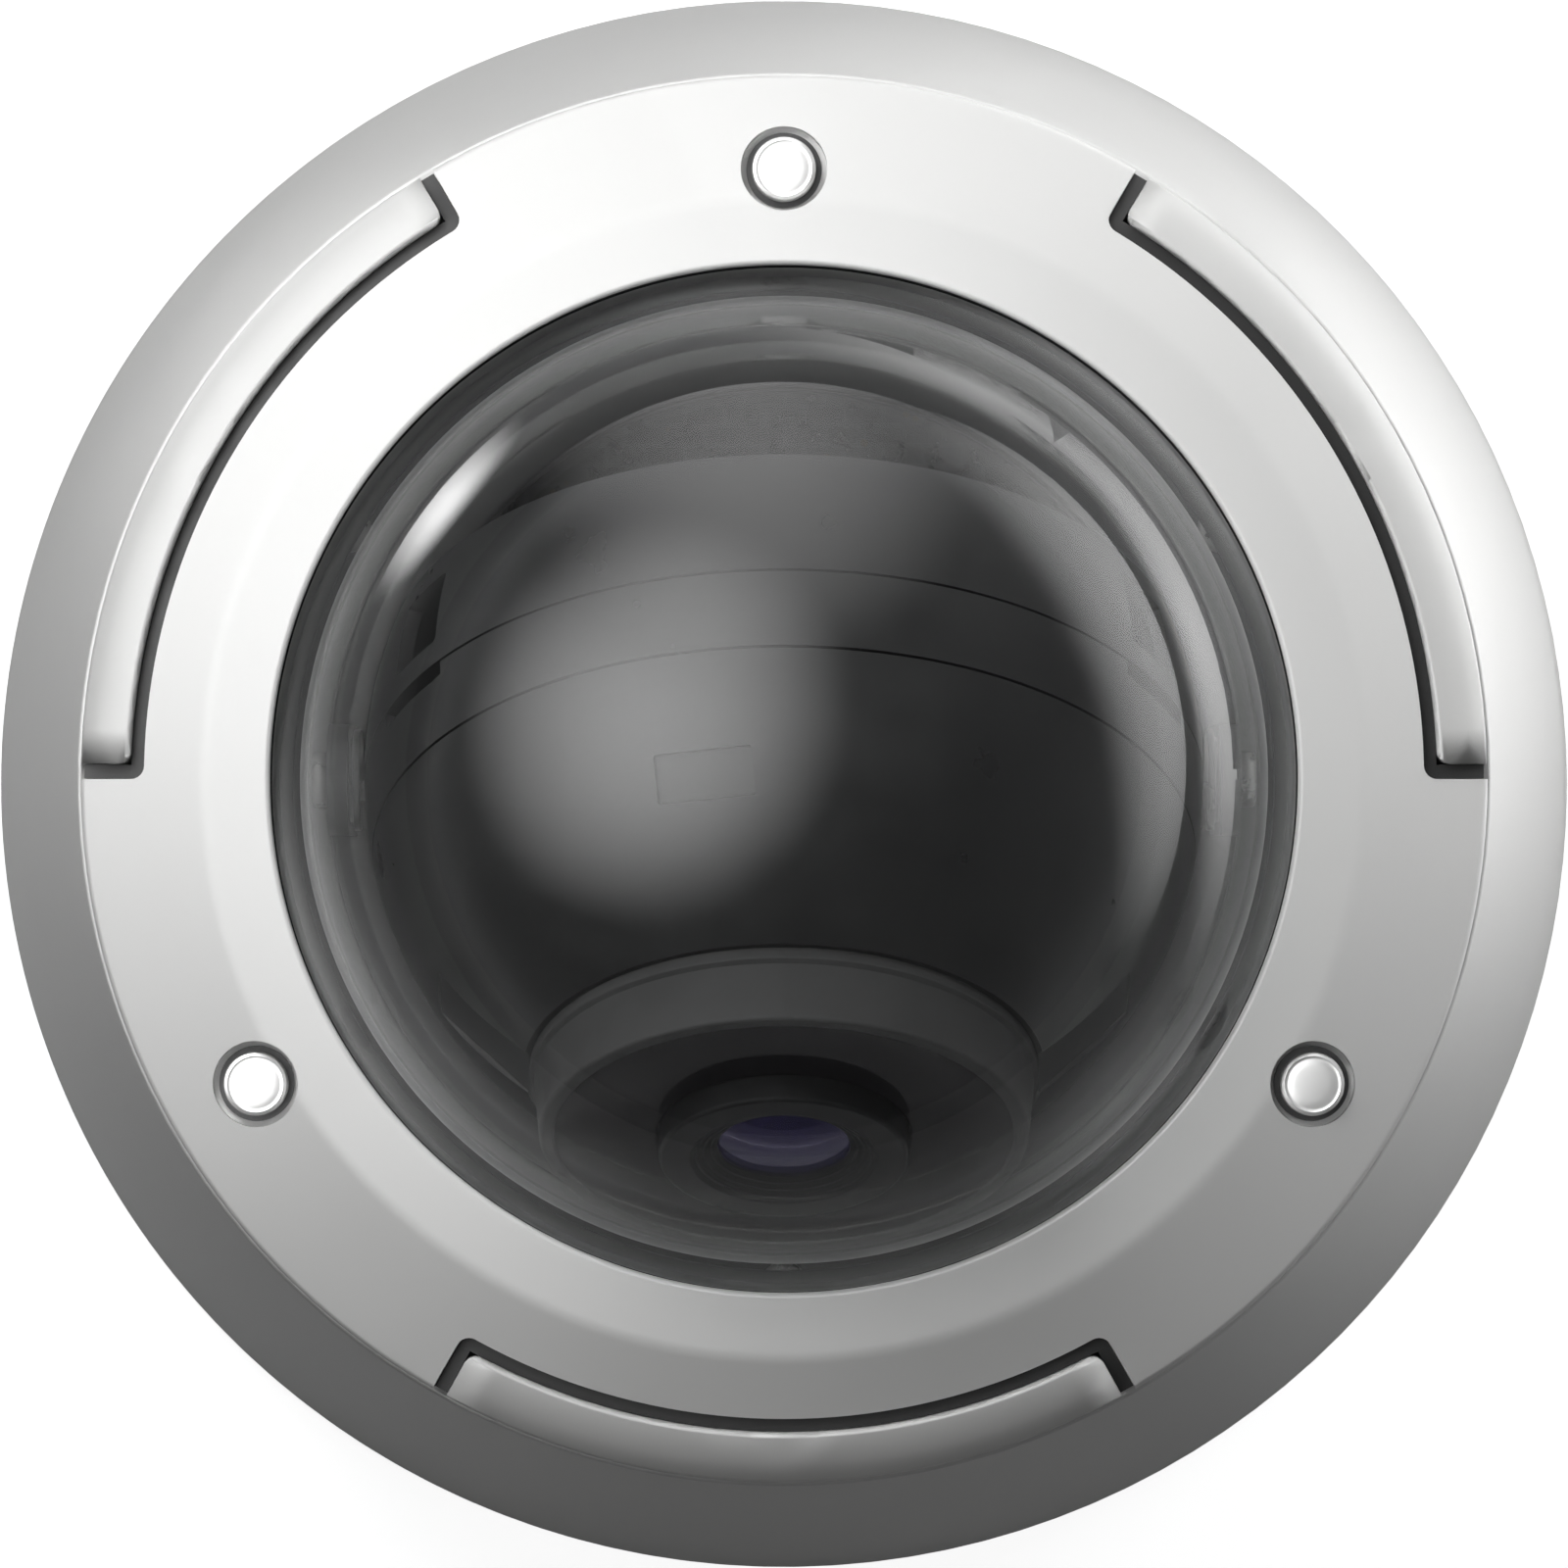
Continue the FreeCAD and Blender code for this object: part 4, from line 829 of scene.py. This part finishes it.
def makeCoverScrew(number):
    place = screwPlaces[number]
    bottom, head = screw["threadBottom"], screw["headBottom"]
    top = head + screw["headHeight"]
    # the thread is drawn as rings one pitch apart, so that it looks the same at every turn
    thread = [(0, bottom), (screw["threadRadius"] - 0.5, bottom)]
    count = int(screw["threadLength"] / screw["pitch"]) - 1
    for i in range(count):
        z = bottom + 0.5 + i * screw["pitch"]
        thread += [(screw["threadRadius"] - 0.3, z), (screw["threadRadius"], z + screw["pitch"] / 2)]
    end = bottom + screw["threadLength"]
    outline = thread + [(screw["neckRadius"], end), (screw["neckRadius"], head), (screw["headRadius"], head),
                        (screw["headRadius"], top - 0.45), (screw["headRadius"] - 0.12, top - 0.16),
                        (screw["headRadius"] - 0.42, top - 0.02), (screw["headRadius"] - 0.62, top - 0.10),
                        (screw["headRadius"] - 0.85, top - 0.05), (screw["headRadius"] * 0.5, top), (0, top)]
    bm = spun(outline, closed=False, steps=72)
    bmesh.ops.translate(bm, verts=bm.verts[:], vec=Vector((place.x, place.y, 0)) * mm)
    return finished(asObject(bm, "coverScrew%d" % number), "cover_screw_%d" % number, 40)


for number in screwNumbers:
    makeCoverScrew(number)
print("cover screws ready")


shapedPieces = {
    "housing": "housingCasting",
    "base_gasket": "baseGasket",
    "mounting_bracket": "wallBracket",
    "cable_gland": "cableGland",
    "chassis_ring": "chassisRing",
    "pan_retainer": "panRetainer",
    "chassis_screws": "chassisScrews",
    "pan_ring": "panRing",
    "yoke_arm_right": "yokeArmRight",
    "yoke_arm_left": "yokeArmLeft",
    "friction_washers": "frictionWashers",
    "pivot_screws": "pivotScrews",
    "shell_screws": "shellScrews",
    "infrared_leds": "infraredLeds",
    "lens_barrel": "lensBarrel",
    "rear_lens": "rearLens",
    "sensor_screws": "sensorScrews",
    "cover_seal": "coverSeal",
    "screw_retainers": "screwRetainers",
    "dome_gasket": "domeGasket",
    "dome_clamp_ring": "domeClampRing",
    "board_screws": "boardScrews",
    "status_led": "statusLed",
    "reset_button": "resetButton",
    "desiccant_pack": "desiccantPack",
    "power_terminal": "powerTerminal",
    "reset_button_body": "resetButtonBody",
    "main_board": "mainBoard",
}
for node, name in shapedPieces.items():
    smoothCopy(node, name)
for number in screwNumbers:
    smoothCopy("screw_washer_%d" % number, "screwWasher%d" % number)
for node, piece in frame["nodes"].items():
    for slotEntry in piece.material_slots:
        slotEntry.material = finishes[slotOf[node]]
print("pieces shaded:", len(shapedPieces))
